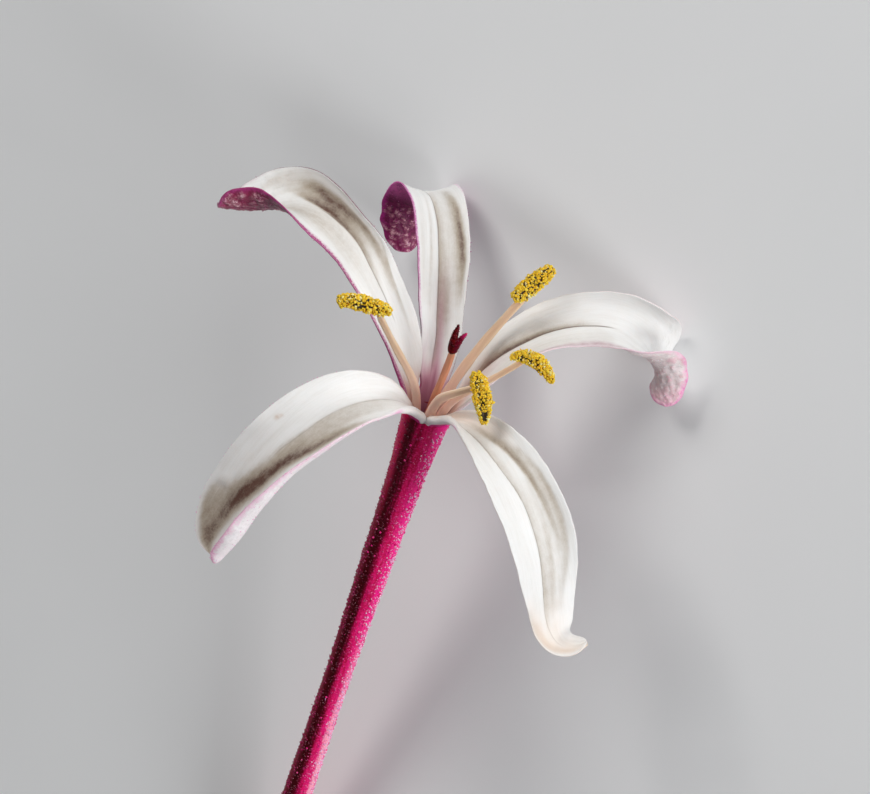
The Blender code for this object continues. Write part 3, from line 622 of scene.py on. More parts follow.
class Paint:
    """A material and short ways to add nodes to it."""

    def __init__(self, name, roughness=0.5, **inputs):
        self.material = bpy.data.materials.new(name)
        self.material.use_nodes = True
        self.tree = self.material.node_tree
        self.shader = self.tree.nodes["Principled BSDF"]
        self.shader.inputs["Roughness"].default_value = roughness
        for key, value in inputs.items():
            self.shader.inputs[SHADER_INPUTS[key]].default_value = value

    def node(self, kind, inputs=None, **settings):
        made = self.tree.nodes.new(kind)
        for key, value in settings.items():
            setattr(made, key, value)
        for key, value in (inputs or {}).items():
            if isinstance(value, bpy.types.NodeSocket):
                self.tree.links.new(value, made.inputs[key])
            else:
                made.inputs[key].default_value = value
        return made

    def value(self, name):
        return self.node("ShaderNodeAttribute", attribute_name=name).outputs["Fac"]

    def vector(self, name, scale=(1.0, 1.0, 1.0)):
        raw = self.node("ShaderNodeAttribute", attribute_name=name).outputs["Vector"]
        return self.node("ShaderNodeVectorMath", {0: raw, 1: scale}, operation="MULTIPLY").outputs[0]

    def noise(self, vector, scale, detail=2.0, roughness=0.5, distortion=0.0):
        inputs = {"Vector": vector, "Scale": scale, "Detail": detail}
        inputs.update({"Roughness": roughness, "Distortion": distortion})
        return self.node("ShaderNodeTexNoise", inputs).outputs["Fac"]

    def streaks(self, across, along, detail=3.0, roughness=0.5, distortion=0.0):
        """Noise with so many cycles to the mm across a strap and along it."""
        return self.noise(self.vector("strap", (across, along, 1.0)), 1.0, detail, roughness, distortion)

    def specks(self, scale, detail):
        """Noise in the object's own metres."""
        return self.noise(self.node("ShaderNodeTexCoord").outputs["Object"], scale, detail)

    def maths(self, operation, a, b=0.0, clamp=False):
        inputs = {0: a, 1: b, 2: 0.0}
        return self.node("ShaderNodeMath", inputs, operation=operation, use_clamp=clamp).outputs[0]

    def times(self, a, b, clamp=False):
        return self.maths("MULTIPLY", a, b, clamp)

    def plus(self, a, b):
        return self.maths("ADD", a, b)

    def absolute(self, value):
        return self.maths("ABSOLUTE", value)

    def span(self, value, low, high, to_low=0.0, to_high=1.0):
        inputs = {"Value": value, "From Min": low, "From Max": high, "To Min": to_low, "To Max": to_high}
        return self.node("ShaderNodeMapRange", inputs, interpolation_type="SMOOTHSTEP").outputs[0]

    def mix(self, factor, a, b, blend="MIX"):
        made = self.node("ShaderNodeMix", data_type="RGBA", blend_type=blend)
        for socket, value in ((made.inputs[0], factor), (made.inputs[6], a), (made.inputs[7], b)):
            if isinstance(value, bpy.types.NodeSocket):
                self.tree.links.new(value, socket)
            elif isinstance(value, tuple):
                socket.default_value = (*value, 1.0)
            else:
                socket.default_value = value
        return made.outputs[2]

    def finish(self, colour, height=None, height_size=0.0001, strength=0.5, roughness=None):
        self.tree.links.new(colour, self.shader.inputs["Base Color"])
        if height is not None:
            inputs = {"Height": height, "Distance": height_size, "Strength": strength}
            bump = self.node("ShaderNodeBump", inputs)
            self.tree.links.new(bump.outputs[0], self.shader.inputs["Normal"])
        if roughness is not None:
            self.tree.links.new(roughness, self.shader.inputs["Roughness"])
        return self.material


def petal_inner(p, look, streaks, hair_lines, blots, grain, granular):
    """White face with streaks, painted shade in its hollows, a vein, the throat's tint and coloured edges."""
    colour = p.mix(p.span(streaks, 0.42, 0.75, 0.0, 0.2), (0.88, 0.875, 0.865), (0.68, 0.65, 0.6))
    colour = p.mix(p.span(hair_lines, 0.45, 0.75, 0.0, 0.12), colour, (0.56, 0.52, 0.47))
    mottle = p.streaks(1.3, 0.8)
    colour = p.mix(p.span(mottle, 0.5, 0.8, 0.0, 0.2), colour, (0.76, 0.72, 0.66))
    uneven = p.times(p.span(streaks, 0.25, 0.75, 0.92, 1.06), p.span(blots, 0.3, 0.7, 0.9, 1.08))
    uneven = p.times(uneven, p.span(grain, 0.25, 0.75, 0.93, 1.05))
    # Painted shade: light grey-brown where the shade is weak, near-black where it is strong
    shade = p.times(p.value("shade"), uneven, clamp=True)
    colour = p.mix(p.span(shade, 0.0, 0.62, 0.0, 0.95), colour, (0.42, 0.36, 0.285))
    colour = p.mix(p.span(shade, 0.5, 1.0, 0.0, 0.96), colour, (0.1, 0.044, 0.03))
    mauve = p.times(p.value("mauve"), p.span(blots, 0.3, 0.7, 0.8, 1.15), clamp=True)
    colour = p.mix(mauve, colour, look["mauve"])
    colour = p.mix(p.value("spot"), colour, (0.55, 0.36, 0.24))
    line = p.span(p.absolute(p.value("vein")), 0.012, 0.07, 1.0, 0.0)
    line = p.times(line, p.value("vein_strength"), clamp=True)
    colour = p.mix(p.times(line, look["line"]), colour, (0.2, 0.15, 0.13))
    blush = p.times(p.value("blush"), p.span(streaks, 0.25, 0.7, 0.9, 1.1), clamp=True)
    colour = p.mix(blush, colour, look["blush"])
    deep = tuple(c * 0.55 for c in look["blush"])
    colour = p.mix(p.span(blush, 0.75, 1.0, 0.0, 0.5), colour, deep)
    edge = p.times(p.value("edge"), p.span(granular, 0.34, 0.64, 0.55, 1.25), clamp=True)
    colour = p.mix(p.span(edge, 0.05, 0.6), colour, tuple(0.5 + 0.5 * c for c in look["rim"]))
    return p.mix(p.span(edge, 0.4, 0.9), colour, look["rim"])


def petal_outer(p, look, crest, blots, granular):
    """Tinted face with a painted sheen and highlight on its lumps, a coloured rim, and the tube's colour at
    its foot.
    """
    dark = tuple(c * (0.3 + 0.6 * look["pale"]) for c in look["back"])
    painted_sheen = tuple(0.5 * c + 0.5 * d for c, d in zip(look["back"], (0.86, 0.42, 0.5)))
    colour = p.mix(p.span(granular, 0.3, 0.6), dark, look["back"])
    colour = p.mix(p.times(p.value("tip"), p.span(blots, 0.3, 0.62, 0.25, 1.0)), colour, look["tip"])
    # Painted sheen on the lumps' crests, and a paler painted highlight at their tops
    colour = p.mix(p.span(crest, 0.15, 0.75, 0.0, 0.9), colour, painted_sheen)
    colour = p.mix(p.span(crest, 0.65, 1.0, 0.0, 0.7), colour, (0.98, 0.64, 0.72))
    dull = 1 - look["pale"]
    rim_width = p.span(blots, 0.25, 0.75, 0.12 + 0.06 * dull, 0.4 + 0.16 * dull)
    near = p.maths("SUBTRACT", 1.0, p.maths("DIVIDE", p.value("margin"), rim_width), clamp=True)
    near = p.times(near, p.span(granular, 0.36, 0.6, 0.45, 1.3), clamp=True)
    near = p.times(near, p.value("rim"))
    rim = p.mix(p.span(granular, 0.5, 0.66, 0.0, 0.5 * look["pale"]), look["rim"], (0.55, 0.03, 0.26))
    colour = p.mix(near, colour, rim)
    # loop: a painted highlight, bright magenta, across the top of the fold
    loop = p.times(p.value("loop"), p.span(blots, 0.3, 0.56, 0.6, 1.0))
    colour = p.mix(loop, colour, (0.94, 0.16, 0.6))
    colour = p.mix(p.value("to_tube"), colour, (0.66, 0.01, 0.22))
    # lip: lilac fading into the lip's pale roll, whose white is brighter than the petal's own white as
    # painted light on its underside
    lip = p.value("lip")
    lilac = p.mix(p.span(lip, 0.05, 0.6), colour, (0.88, 0.4, 0.66))
    return p.mix(p.span(lip, 0.35, 0.85), lilac, (0.97, 0.93, 0.91))


def petal_paint(name, look):
    """An inner and an outer face that meet in a grainy line along the margin."""
    p = Paint(name, 0.5, soft=0.12, soft_scale=0.0006, soft_radius=(1.0, 0.7, 0.6), specular=0.35)
    streaks = p.streaks(3.2, 0.2, 4.0, 0.6, 0.3)
    hair_lines = p.streaks(11.0, 0.6, 3.0, 0.6)
    grain = p.noise(p.vector("strap"), 9.0, 3.0, 0.65)
    blots = p.noise(p.vector("strap", (1.0, 0.6, 1.0)), 3.4, 3.0, 0.6)
    granular = p.noise(p.vector("strap"), 6.0, 4.0, 0.7)
    push = p.node("ShaderNodeCombineXYZ", {0: granular, 1: blots}).outputs[0]
    pushed = p.node("ShaderNodeVectorMath", {0: p.vector("strap"), 1: push}, operation="ADD").outputs[0]
    cells = p.node("ShaderNodeTexVoronoi", {"Vector": pushed, "Scale": 4.6}).outputs["Distance"]
    # crest: the lumps' tops, which get the painted sheen and highlight and a bump
    crest = p.times(p.value("lump"), p.span(cells, 0.15, 0.75, 1.45, 0.45), clamp=True)
    inner = petal_inner(p, look, streaks, hair_lines, blots, grain, granular)
    outer = petal_outer(p, look, crest, blots, granular)
    face = p.plus(p.value("back"), p.span(grain, 0.3, 0.7, -0.12, 0.12))
    height = p.plus(p.times(hair_lines, 0.7), p.times(grain, 0.35))
    height = p.plus(height, p.times(p.times(p.value("back"), granular), 1.5))
    height = p.plus(height, p.times(crest, 1.6))
    rough = p.maths("SUBTRACT", p.span(grain, 0.2, 0.8, 0.42, 0.6), p.times(p.value("back"), 0.12))
    return p.finish(p.mix(p.span(face, 0.3, 0.6), inner, outer), height, 0.00004, 0.6, rough)


def tube_paint():
    """Glossy magenta with a painted bright side, dark bands of painted shade along it, a pale strip and fine
    streaks.
    """
    p = Paint("tube_skin", 0.42, specular=0.12, soft=0.08, soft_scale=0.0004)
    streaks = p.streaks(3.2, 0.22, 4.0, 0.6, 0.4)
    cells = p.noise(p.vector("strap"), 7.0, 3.0, 0.6)
    wander = p.times(p.span(streaks, 0.2, 0.8, -1.0, 1.0), 10.0)
    angle = p.plus(p.value("around"), p.plus(wander, p.span(cells, 0.2, 0.8, -7.0, 7.0)))

    def band(centre, full, end, most=1.0):
        """A lengthwise band: its middle, where it starts to fade and ends, in degrees from that."""
        return p.span(p.absolute(p.maths("SUBTRACT", angle, centre)), full, end, most, 0.0)

    colour = p.mix(p.span(streaks, 0.3, 0.7), (0.54, 0.001, 0.06), (0.78, 0.004, 0.13))
    # Painted light: a brighter side
    colour = p.mix(band(72.0, 14.0, 68.0), colour, (1.0, 0.014, 0.29))
    colour = p.mix(p.span(cells, 0.5, 0.7, 0.0, 0.5), colour, (0.98, 0.06, 0.34))
    # Painted shade: dark bands along the tube, the widest stronger lower down, a narrow one in the crease
    shade_reach = p.span(p.value("along"), -9.0, -3.0, 0.82, 0.25)
    colour = p.mix(p.times(band(-54.0, 34.0, 74.0), shade_reach), colour, (0.13, 0.001, 0.008))
    colour = p.mix(band(-27.0, 4.0, 32.0, 0.94), colour, (0.05, 0.0006, 0.002))
    colour = p.mix(band(128.0, 4.0, 24.0, 0.6), colour, (0.12, 0.001, 0.012))
    low = p.span(p.value("along"), -28.0, -15.0, 1.0, 0.0)
    pale = p.times(p.times(band(56.0, 8.0, 26.0), low), 0.85)
    colour = p.mix(pale, colour, (1.0, 0.44, 0.56))
    height = p.plus(p.times(streaks, 0.5), cells)
    return p.finish(colour, height, 0.00006, 0.6, p.span(cells, 0.3, 0.7, 0.32, 0.52))


def throat_paint():
    p = Paint("throat_wall", 0.4)
    streaks = p.streaks(3.0, 0.5)
    colour = p.mix(streaks, (0.16, 0.004, 0.02), (0.36, 0.02, 0.06))
    # Painted shade: darker deeper into the throat
    colour = p.mix(p.span(p.value("along"), -3.2, -0.3, 1.0, 0.0), colour, (0.02, 0.0005, 0.002))
    return p.finish(colour, streaks, 0.00005, 0.4)


def cut_paint():
    p = Paint("cut_flesh", 0.35, soft=0.2, soft_scale=0.0005)
    cells = p.noise(p.vector("strap"), 9.0, 3.0, 0.6)
    colour = p.mix(p.span(cells, 0.3, 0.7), (0.48, 0.34, 0.25), (0.74, 0.62, 0.48))
    colour = p.mix(p.span(p.value("ring"), 0.62, 0.98), colour, (0.5, 0.02, 0.12))
    return p.finish(colour, cells, 0.00005, 0.6)


def hair_paint(name, dark, light, roughness):
    """Hairs with a light head on a darker stalk and a tint that differs for each; the lightest colour at the
    head is a painted glint.
    """
    p = Paint(name, roughness, specular=0.4, soft=0.15, soft_scale=0.0002, coat=0.15, coat_roughness=0.12)
    colour = p.mix(p.value("tint"), dark, light)
    lightest = tuple(min(1.0, c * 1.25 + 0.06) for c in light)
    colour = p.mix(p.span(p.value("head"), 0.2, 0.8, 0.0, 0.75), colour, lightest)
    # dark: painted shade where the hairs stand in the tube's bands of painted shade
    return p.finish(p.mix(p.value("dark"), colour, (0.07, 0.001, 0.005)))


def filament_paint(name, tone_and_light):
    p = Paint(name, 0.42, soft=0.2, soft_scale=0.0005, soft_radius=(1.0, 0.5, 0.3))
    lines = p.streaks(5.0, 0.5)
    aside = p.absolute(p.value("around"))
    along = p.value("along")
    colour = p.mix(p.span(lines, 0.3, 0.7), (0.9, 0.66, 0.46), (0.8, 0.55, 0.36))
    # Painted shade along the groove on the upper side
    colour = p.mix(p.times(p.span(aside, 0.1, 0.8, 1.0, 0.0), 0.35), colour, (0.62, 0.38, 0.24))
    # Painted light: lighter on the edges and the side below
    colour = p.mix(p.span(aside, 1.0, 1.55, 0.0, 0.75), colour, (0.95, 0.8, 0.62))
    colour = p.mix(p.span(along, 0.6, 7.0, 0.85, 0.0), colour, (0.92, 0.6, 0.52))
    colour = p.mix(p.span(along, -0.6, 1.2, 1.0, 0.0), colour, (0.4, 0.06, 0.06))
    # A brightness for each filament, partly its own colour and partly painted light and shade
    colour = p.mix(1.0, colour, (tone_and_light, tone_and_light, tone_and_light), "MULTIPLY")
    return p.finish(colour, lines, 0.00004, 0.5)


def style_paint():
    p = Paint("style_skin", 0.38, soft=0.2, soft_scale=0.0005)
    lines = p.streaks(5.0, 0.5)
    colour = p.mix(p.span(lines, 0.3, 0.7), (0.66, 0.3, 0.17), (0.52, 0.2, 0.11))
    colour = p.mix(p.span(p.absolute(p.value("around")), 1.0, 1.55, 0.0, 0.5), colour, (0.85, 0.5, 0.34))
    colour = p.mix(p.span(p.value("along"), 0.2, 3.6, 0.9, 0.0), colour, (0.5, 0.09, 0.08))
    return p.finish(colour, lines, 0.00004, 0.5)


def stigma_paint():
    p = Paint("stigma_skin", 0.5, specular=0.06, coat=0.04)
    spots = p.specks(4000.0, 4.0)
    colour = p.mix(p.span(spots, 0.35, 0.7), (0.03, 0.0005, 0.0015), (0.13, 0.0015, 0.004))
    colour = p.mix(p.value("bright"), colour, (0.7, 0.015, 0.16))
    return p.finish(colour, spots, 0.00003, 0.5)


def anther_paint():
    p = Paint("anther_wall", 0.6)
    spots = p.specks(5000.0, 4.0)
    colour = p.mix(p.span(spots, 0.3, 0.7), (0.006, 0.004, 0.002), (0.05, 0.026, 0.006))
    return p.finish(colour, spots, 0.00005, 0.7)


def pollen_paint():
    p = Paint("pollen", 0.7, soft=0.4, soft_scale=0.0003, soft_radius=(1.0, 0.7, 0.15))
    spots = p.specks(9000.0, 3.0)
    tint = p.value("tint")
    colour = p.mix(tint, (1.0, 0.52, 0.006), (1.0, 0.7, 0.04))
    # Painted highlight: the palest crumbs are cream
    colour = p.mix(p.span(tint, 0.8, 1.0, 0.0, 0.85), colour, (1.0, 0.92, 0.42))
    colour = p.mix(p.span(spots, 0.3, 0.7, 0.15, 0.0), colour, (0.6, 0.25, 0.01))
    return p.finish(colour, spots, 0.00004, 0.8)


def plain_paint(name, colour, roughness):
    p = Paint(name, roughness)
    darker = tuple(c * 0.985 for c in colour)
    return p.finish(p.mix(p.span(p.specks(60.0, 2.0), 0.3, 0.7), colour, darker))


# Petals

COLUMNS = 56
CLAW_ROWS, STRAP_ROWS, TIP_ROWS = 9, 112, 40
CLAW_RUN = 0.075
FOLD_STEPS = 48
RIDGES = 5
MARGIN_TURNS = (45, 90, 135)
BEADS_TRIED = 450


def petal_rows(petal):
    """Shares of the length: a short run back into the tube, the strap, and closer rows at the tip."""
    before = np.linspace(-CLAW_RUN, 0.0, CLAW_ROWS)[:-1]
    body = np.linspace(0.0, petal["taper"], STRAP_ROWS)[:-1]
    closing_in = np.sin(np.linspace(0, math.pi / 2, TIP_ROWS))
    tip = petal["taper"] + (petal["last"] - petal["taper"]) * closing_in
    return np.concatenate([before, body, tip])


def petal_course(petal):
    """A petal's line with the directions across it and inwards, at shares of its length."""
    fine = np.linspace(0.0, 1.0, 601)
    back = np.linspace(-CLAW_RUN, 0.0, 46)[:-1]
    at = np.concatenate([back, fine])
    end = smooth((fine - 0.86) / 0.14)
    lean = np.radians(through(petal["lean"], fine) + petal["curl"] * end)
    azimuth = np.radians(petal["azimuth"] + through(petal["sway"], fine) + petal["flick"] * end)
    twist = np.radians(through(petal["twist"], fine))
    lean_back = lean[0] + (math.radians(4) - lean[0]) * smooth(-back / 0.05)
    lean = np.concatenate([lean_back, lean])
    azimuth = np.concatenate([np.full(len(back), azimuth[0]), azimuth])
    twist = np.concatenate([np.full(len(back), twist[0]), twist])[:, None]
    along = heading(lean, azimuth)
    inner = np.stack([-np.cos(lean) * np.cos(azimuth), -np.cos(lean) * np.sin(azimuth), np.sin(lean)], axis=1)
    side = np.stack([-np.sin(azimuth), np.cos(azimuth), np.zeros_like(azimuth)], axis=1)
    across = np.cos(twist) * side + np.sin(twist) * inner
    inner = np.cos(twist) * inner - np.sin(twist) * side
    crease_from, crease_to, slant, turn_over = petal["crease"]
    slant = math.radians(slant)
    hinge = math.cos(slant) * read_rows(at, along, crease_from)
    hinge += math.sin(slant) * read_rows(at, across, crease_from)
    hinge /= np.linalg.norm(hinge)
    turning = math.radians(turn_over) * smooth((at - crease_from) / (crease_to - crease_from))
    along, across, inner = (turned(vectors, hinge, turning) for vectors in (along, across, inner))
    root = math.radians(petal["azimuth"])
    root_z = RIM_Z + CLAW_GAP + 0.5 * PETAL_THICK * math.sin(math.radians(petal["lean"][0]))
    start = np.array([CLAW_RING_R * math.cos(root), CLAW_RING_R * math.sin(root), root_z])
    steps = np.diff(at)[:, None] * petal["length"]
    line = np.vstack([np.zeros(3), np.cumsum((along[:-1] + along[1:]) / 2 * steps, axis=0)])
    return at, line - line[len(back)] + start, across, inner


def petal_half(petal, s, rng):
    """Half width at each row, with slightly torn margins and a collar where the claws close up."""
    held = np.clip(s, 0.0, 1.0)
    narrowing = np.clip((held - petal["taper"]) / (petal["last"] - petal["taper"]), 0.0, 1.0)
    narrowing = 0.05 + 0.95 * (1 - narrowing**2) ** petal["blunt"]
    half = 0.5 * petal["width"] * through(petal["across"], held) * narrowing
    ragged = ripple(rng, 7, 0.5, 2.4)
    torn = 0.006 + petal["torn"] * smooth((s - 0.8) / 0.1)
    half = half * (1 + torn * ragged(held * petal["length"] * 0.5))
    collar = 0.9 * smooth(1 - s / 0.075)
    return (half**4 + collar**4) ** 0.25


def petal_middle(petal, s, u, half):
    """Middle surface at each (s, u): points, outward tangent and inner normal."""
    at, *course = petal_course(petal)
    line, across, inner = (read_rows(at, rows, s)[:, None] for rows in course)
    close = np.exp(-((s - 0.1) / 0.075) ** 2)[:, None]
    v = np.linspace(0.0, 1.0, FOLD_STEPS + 1)
    reach, lift, bend = np.zeros((3, len(s), len(u)))
    for sign, side_fold, roll in zip((-1, 1), petal["fold"], petal["roll"]):
        fold = np.radians(through(side_fold, np.clip(s, 0.0, 1.0)))
        fold = np.clip(fold, 0.02, half / (TIGHTEST_FOLD_R * roll))
        ring = half / CLAW_RING_R
        fold = ring + (fold - ring) * smooth(s / 0.08)
        power = 1 + (roll - 1) * smooth(s / 0.08)
        angle = fold[:, None] * v[None, :] ** power[:, None]
        mine = u * sign > 0
        at_u = np.abs(u[mine])
        for grid, wave in ((reach, np.cos), (lift, np.sin)):
            slope = (wave(angle[:, 1:]) + wave(angle[:, :-1])) / 2
            run = np.pad(np.cumsum(slope, axis=1), ((0, 0), (1, 0))) * half[:, None] / FOLD_STEPS
            grid[:, mine] = [np.interp(at_u, v, row) for row in run]
        bend[:, mine] = [np.interp(at_u, v, row) for row in angle]
        more = 0.4 * close * (sign == petal["closing"]) * u[mine] ** 2
        reach[:, mine] = sign * (reach[:, mine] + more)
    points = line + across * reach[..., None] + inner * lift[..., None]
    sign = np.where(u < 0, -1.0, 1.0)[None, :, None]
    bend = bend[..., None]
    tangent = sign * across * np.cos(bend) + inner * np.sin(bend)
    normal = inner * np.cos(bend) - sign * across * np.sin(bend)
    return points, tangent, normal


class Sheet:
    """The places of a petal's grid: shares s of its length, by rows, and u of its half width."""

    def __init__(self, s, u, half, length):
        self.s, self.u, self.half = s[:, None], u[None, :], half[:, None]
        self.length = length
        self.mm_along = np.clip(self.s, 0, 1) * length
        self.free = smooth((self.s - 0.06) / 0.12)
        self.shape = (len(s), len(u))

    def from_path(self, path):
        """Distance in mm across from a path and past its ends, and its other values, eased."""
        at, over, *others = np.array(path, dtype=float).T
        across = (self.u - eased(at, over, self.s)) * self.half
        beyond = np.maximum(at[0] - self.s, self.s - at[-1]) * self.length
        return across, beyond, *[eased(at, each, self.s) for each in others]

    def strokes(self, paths):
        """Soft streaks laid over each other, from 0 to 1."""
        left = np.ones(self.shape)
        for path in paths:
            across, beyond, strength, below, above = self.from_path(path)
            spot = strength * np.exp(-(across / np.where(across < 0, below, above)) ** 2)
            spot = spot * np.exp(-(np.maximum(beyond, 0.0) / 0.4) ** 2)
            left *= 1 - np.clip(spot, 0.0, 1.0)
        return 1 - left

    def dots(self, rows):
        """The strongest of several soft round dots."""
        most = np.zeros(self.shape)
        for at, over, wide_mm, strength in rows:
            far = ((self.s - at) * self.length) ** 2 + ((self.u - over) * self.half) ** 2
            most = np.maximum(most, strength * np.exp(-far / wide_mm**2))
        return most

    def dents(self, rows):
        """Pushes along the normal, in mm."""
        push = np.zeros(self.shape)
        for at, over, (long_mm, wide_mm), depth in rows:
            along = ((self.s - at) * self.length / long_mm) ** 2
            push += depth * np.exp(-(along + ((self.u - over) * self.half / wide_mm) ** 2))
        return push

    def margins(self, edges):
        """Tint along each margin, and how strong the rim's colour is on each side."""
        edge, rim = np.zeros((2, *self.shape))
        for side, table in edges.items():
            at, strength, wide = np.array(table).T
            strength, wide = eased(at, strength, self.s), eased(at, wide, self.s)
            edge = np.maximum(edge, strength * np.exp(-((1 - side * self.u) * self.half / wide) ** 2))
            rim = np.where(side * self.u > 0, strength, rim)
        return edge, rim

    def waved(self, points, normal, rng):
        """The points with waves along both margins."""
        for sign in (-1, 1):
            wave = ripple(rng, 6, 0.12, 0.42)
            share = np.where(self.u * sign > 0, np.abs(self.u) ** 2.2, 0.0)
            points = points + normal * (0.03 * wave(self.mm_along) * share * self.free)[..., None]
        return points

    def ridges(self, rng):
        """Lengthwise ridges that wander a little."""
        total = np.zeros(self.shape)
        for _ in range(RIDGES):
            wander = ripple(rng, 3, 0.02, 0.09)
            phase = rng.uniform(0, ROUND)
            pitch = rng.uniform(2.0, 5.5)
            wave = np.cos(pitch * math.pi * self.u + phase + 0.8 * wander(self.mm_along))
            total += wave / (0.6 + 0.4 * pitch)
        return total * ((1 - np.abs(self.u) ** 6) * self.free)


def petal_marks(look, sheet, rng):
    """Values for the paint at each (s, u)."""
    across, beyond = sheet.from_path(look["vein"])
    base_tint = smooth(1 - np.maximum(sheet.s, 0.0) / look["blush_reach"])
    lumps = rng.uniform([[0.66], [-1.0], [0.12], [0.4]], [[1.0], [1.0], [0.26], [1.0]], (4, look["lumps"]))
    edge, rim = sheet.margins(look["edges"])
    # band: where the painted highlight over the fold lies
    band = smooth((sheet.s - 0.69) / 0.04) * smooth((0.83 - sheet.s) / 0.06)
    return {
        "margin": np.minimum((1 - np.abs(sheet.u)) * sheet.half, (1 - sheet.s) * sheet.length + 0.02),
        "rim": rim,
        "tip": smooth((sheet.s - look["tip_from"]) / 0.1),
        "loop": look["loop"] * band * (0.3 + 0.7 * np.abs(sheet.u)),
        "shade": sheet.strokes(look["shades"]),
        "mauve": sheet.strokes(look["mauves"]),
        "edge": edge,
        "lump": sheet.dots(lumps.T) * smooth((sheet.s - look["lumps_from"]) / 0.1),
        "spot": sheet.dots(look["spots"]),
        "vein": across,
        "vein_strength": smooth(1 - beyond / 1.2),
        "blush": 1 - (1 - base_tint) * (1 - sheet.strokes(look["tints"])),
        "to_tube": smooth(1 - (sheet.s - 0.02) / look["seam"]),
    }


def petal_faces(look, sheet, marks, points, normal, ridges):
    """Points of the inner and outer face, and the thickness: fleshy at the base and midrib, thin at
    the margins, which stay thick at a rolled lip."""
    s, half, free, edge = sheet.s, sheet.half, sheet.free, np.abs(sheet.u)
    groove = np.exp(-(marks["vein"] / 0.1) ** 2) * marks["vein_strength"] * free
    thick = 0.3 - 0.08 * smooth((s - 0.1) / 0.6) - 0.05 * smooth((s - 0.85) / 0.15)
    thin_edge = 0.5 * smooth((s - (0.14 if look["lip"] else 0.04)) / 0.2)
    depth = thick * (1 - thin_edge * edge**3)
    roll = smooth(1 - (s - 0.08) / 0.14) * smooth((edge - 0.35) / 0.5) * look["lip"]
    depth = np.minimum(depth + 0.24 * roll, 1.3 * half)
    sunk = -0.27 * smooth(s / 0.15) - 0.5 * depth * (1 - smooth(s / 0.15))
    sunk = sunk * (1 - 0.25 * edge**3)
    hollow = 0.1 * marks["shade"] * free * smooth(half / 0.8)
    inner = sunk + depth + 0.016 * ridges - 0.045 * groove - hollow
    outer = sunk - 0.012 * ridges - 0.03 * np.exp(-(sheet.u * half / 0.2) ** 2) * free
    outer = outer - 0.11 * marks["lump"]
    inset = (1 - 0.5 * depth[:, :1] / half)[..., None]
    centre = points[:, COLUMNS // 2][:, None]
    points = centre + (points - centre) * np.clip(inset, 0.35, 1.0)
    return points + normal * inner[..., None], points + normal * outer[..., None], depth


def rounded_margin(inner, outer, up, out, turns):
    """Three points round a margin, in each row."""
    middle = (inner + outer) / 2
    radius = (np.linalg.norm(inner - outer, axis=1) / 2)[:, None]
    arc = [middle + up * (radius * math.cos(t)) + out * (radius * math.sin(t)) for t in np.radians(turns)]
    return np.stack(arc, axis=1)


def petal_beads(s, u, half, outer, normal, rng):
    """Beads scattered over the outer face, smaller near its margins."""
    row = np.interp(rng.uniform(0.06, 0.98, BEADS_TRIED), s, np.arange(len(s))).astype(int)
    row = row.clip(CLAW_ROWS - 1, len(s) - 3)
    row = row[rng.uniform(0, 1, BEADS_TRIED) < np.maximum(half[row] / half.max(), 0.3)]
    column = rng.integers(0, COLUMNS, len(row))
    f, g = rng.uniform(0, 1, (2, len(row), 1))
    roots = (outer[row, column] * (1 - f) + outer[row, column + 1] * f) * (1 - g)
    roots = roots + (outer[row + 1, column] * (1 - f) + outer[row + 1, column + 1] * f) * g
    edge = (1 - np.abs(u[column] + f[:, 0] * (u[1] - u[0]))) * half[row]
    kept = inside(roots)
    roots, ways, edge = roots[kept], -normal[row, column][kept], edge[kept]
    radii = rng.uniform(0.02, 0.042, len(roots)) * smooth(0.35 + edge / 0.4)
    ways = ways + 0.2 * rng.standard_normal(ways.shape)
    points, faces, tint, head = hairs(rng, roots, ways, radii * 0.8 * 1.4, radii, 0.1, BEAD)
    edge = each_point(smooth(edge / 0.35), points)
    return points, faces, tint * (0.4 + 0.6 * edge), head * edge


def petal_bristles(count, s, inner, outer, depth, tangent, normal, rng):
    """A few short hairs on each margin."""
    roots, ways = [], []
    for side in (0, -1):
        index = np.interp(np.sort(rng.uniform(0.3, 0.97, count)), s, np.arange(len(s)))
        low = np.floor(index).astype(int).clip(0, len(s) - 2)
        part = (index - low)[:, None]
        edge = (inner[:, side] + 2 * outer[:, side]) / 3
        edge = edge + tangent[:, side] * 0.5 * depth[:, side][:, None] * 0.7
        roots.append(edge[low] * (1 - part) + edge[low + 1] * part)
        ways.append(tangent[low, side] - 0.3 * normal[low, side] + 0.5 * rng.standard_normal((count, 3)))
    roots, ways = np.vstack(roots), np.vstack(ways)
    kept = inside(roots)
    roots, ways = roots[kept], ways[kept]
    lengths = rng.uniform(0.04, 0.11, len(roots))
    points, faces, tint, head = hairs(rng, roots, ways, lengths, rng.uniform(0.014, 0.024, len(roots)))
    return points, faces, 0.6 + 0.4 * tint, head


def petal_hair_look(look):
    if look["frosty"]:
        return look["back"], (0.95, 0.86, 0.88), 0.25
    dark = tuple(c * 0.6 + r * 0.4 for c, r in zip(look["back"], look["rim"]))
    light = tuple(0.85 * c + 0.15 * d for c, d in zip(look["rim"], (0.95, 0.7, 0.8)))
    return dark, light, 0.25


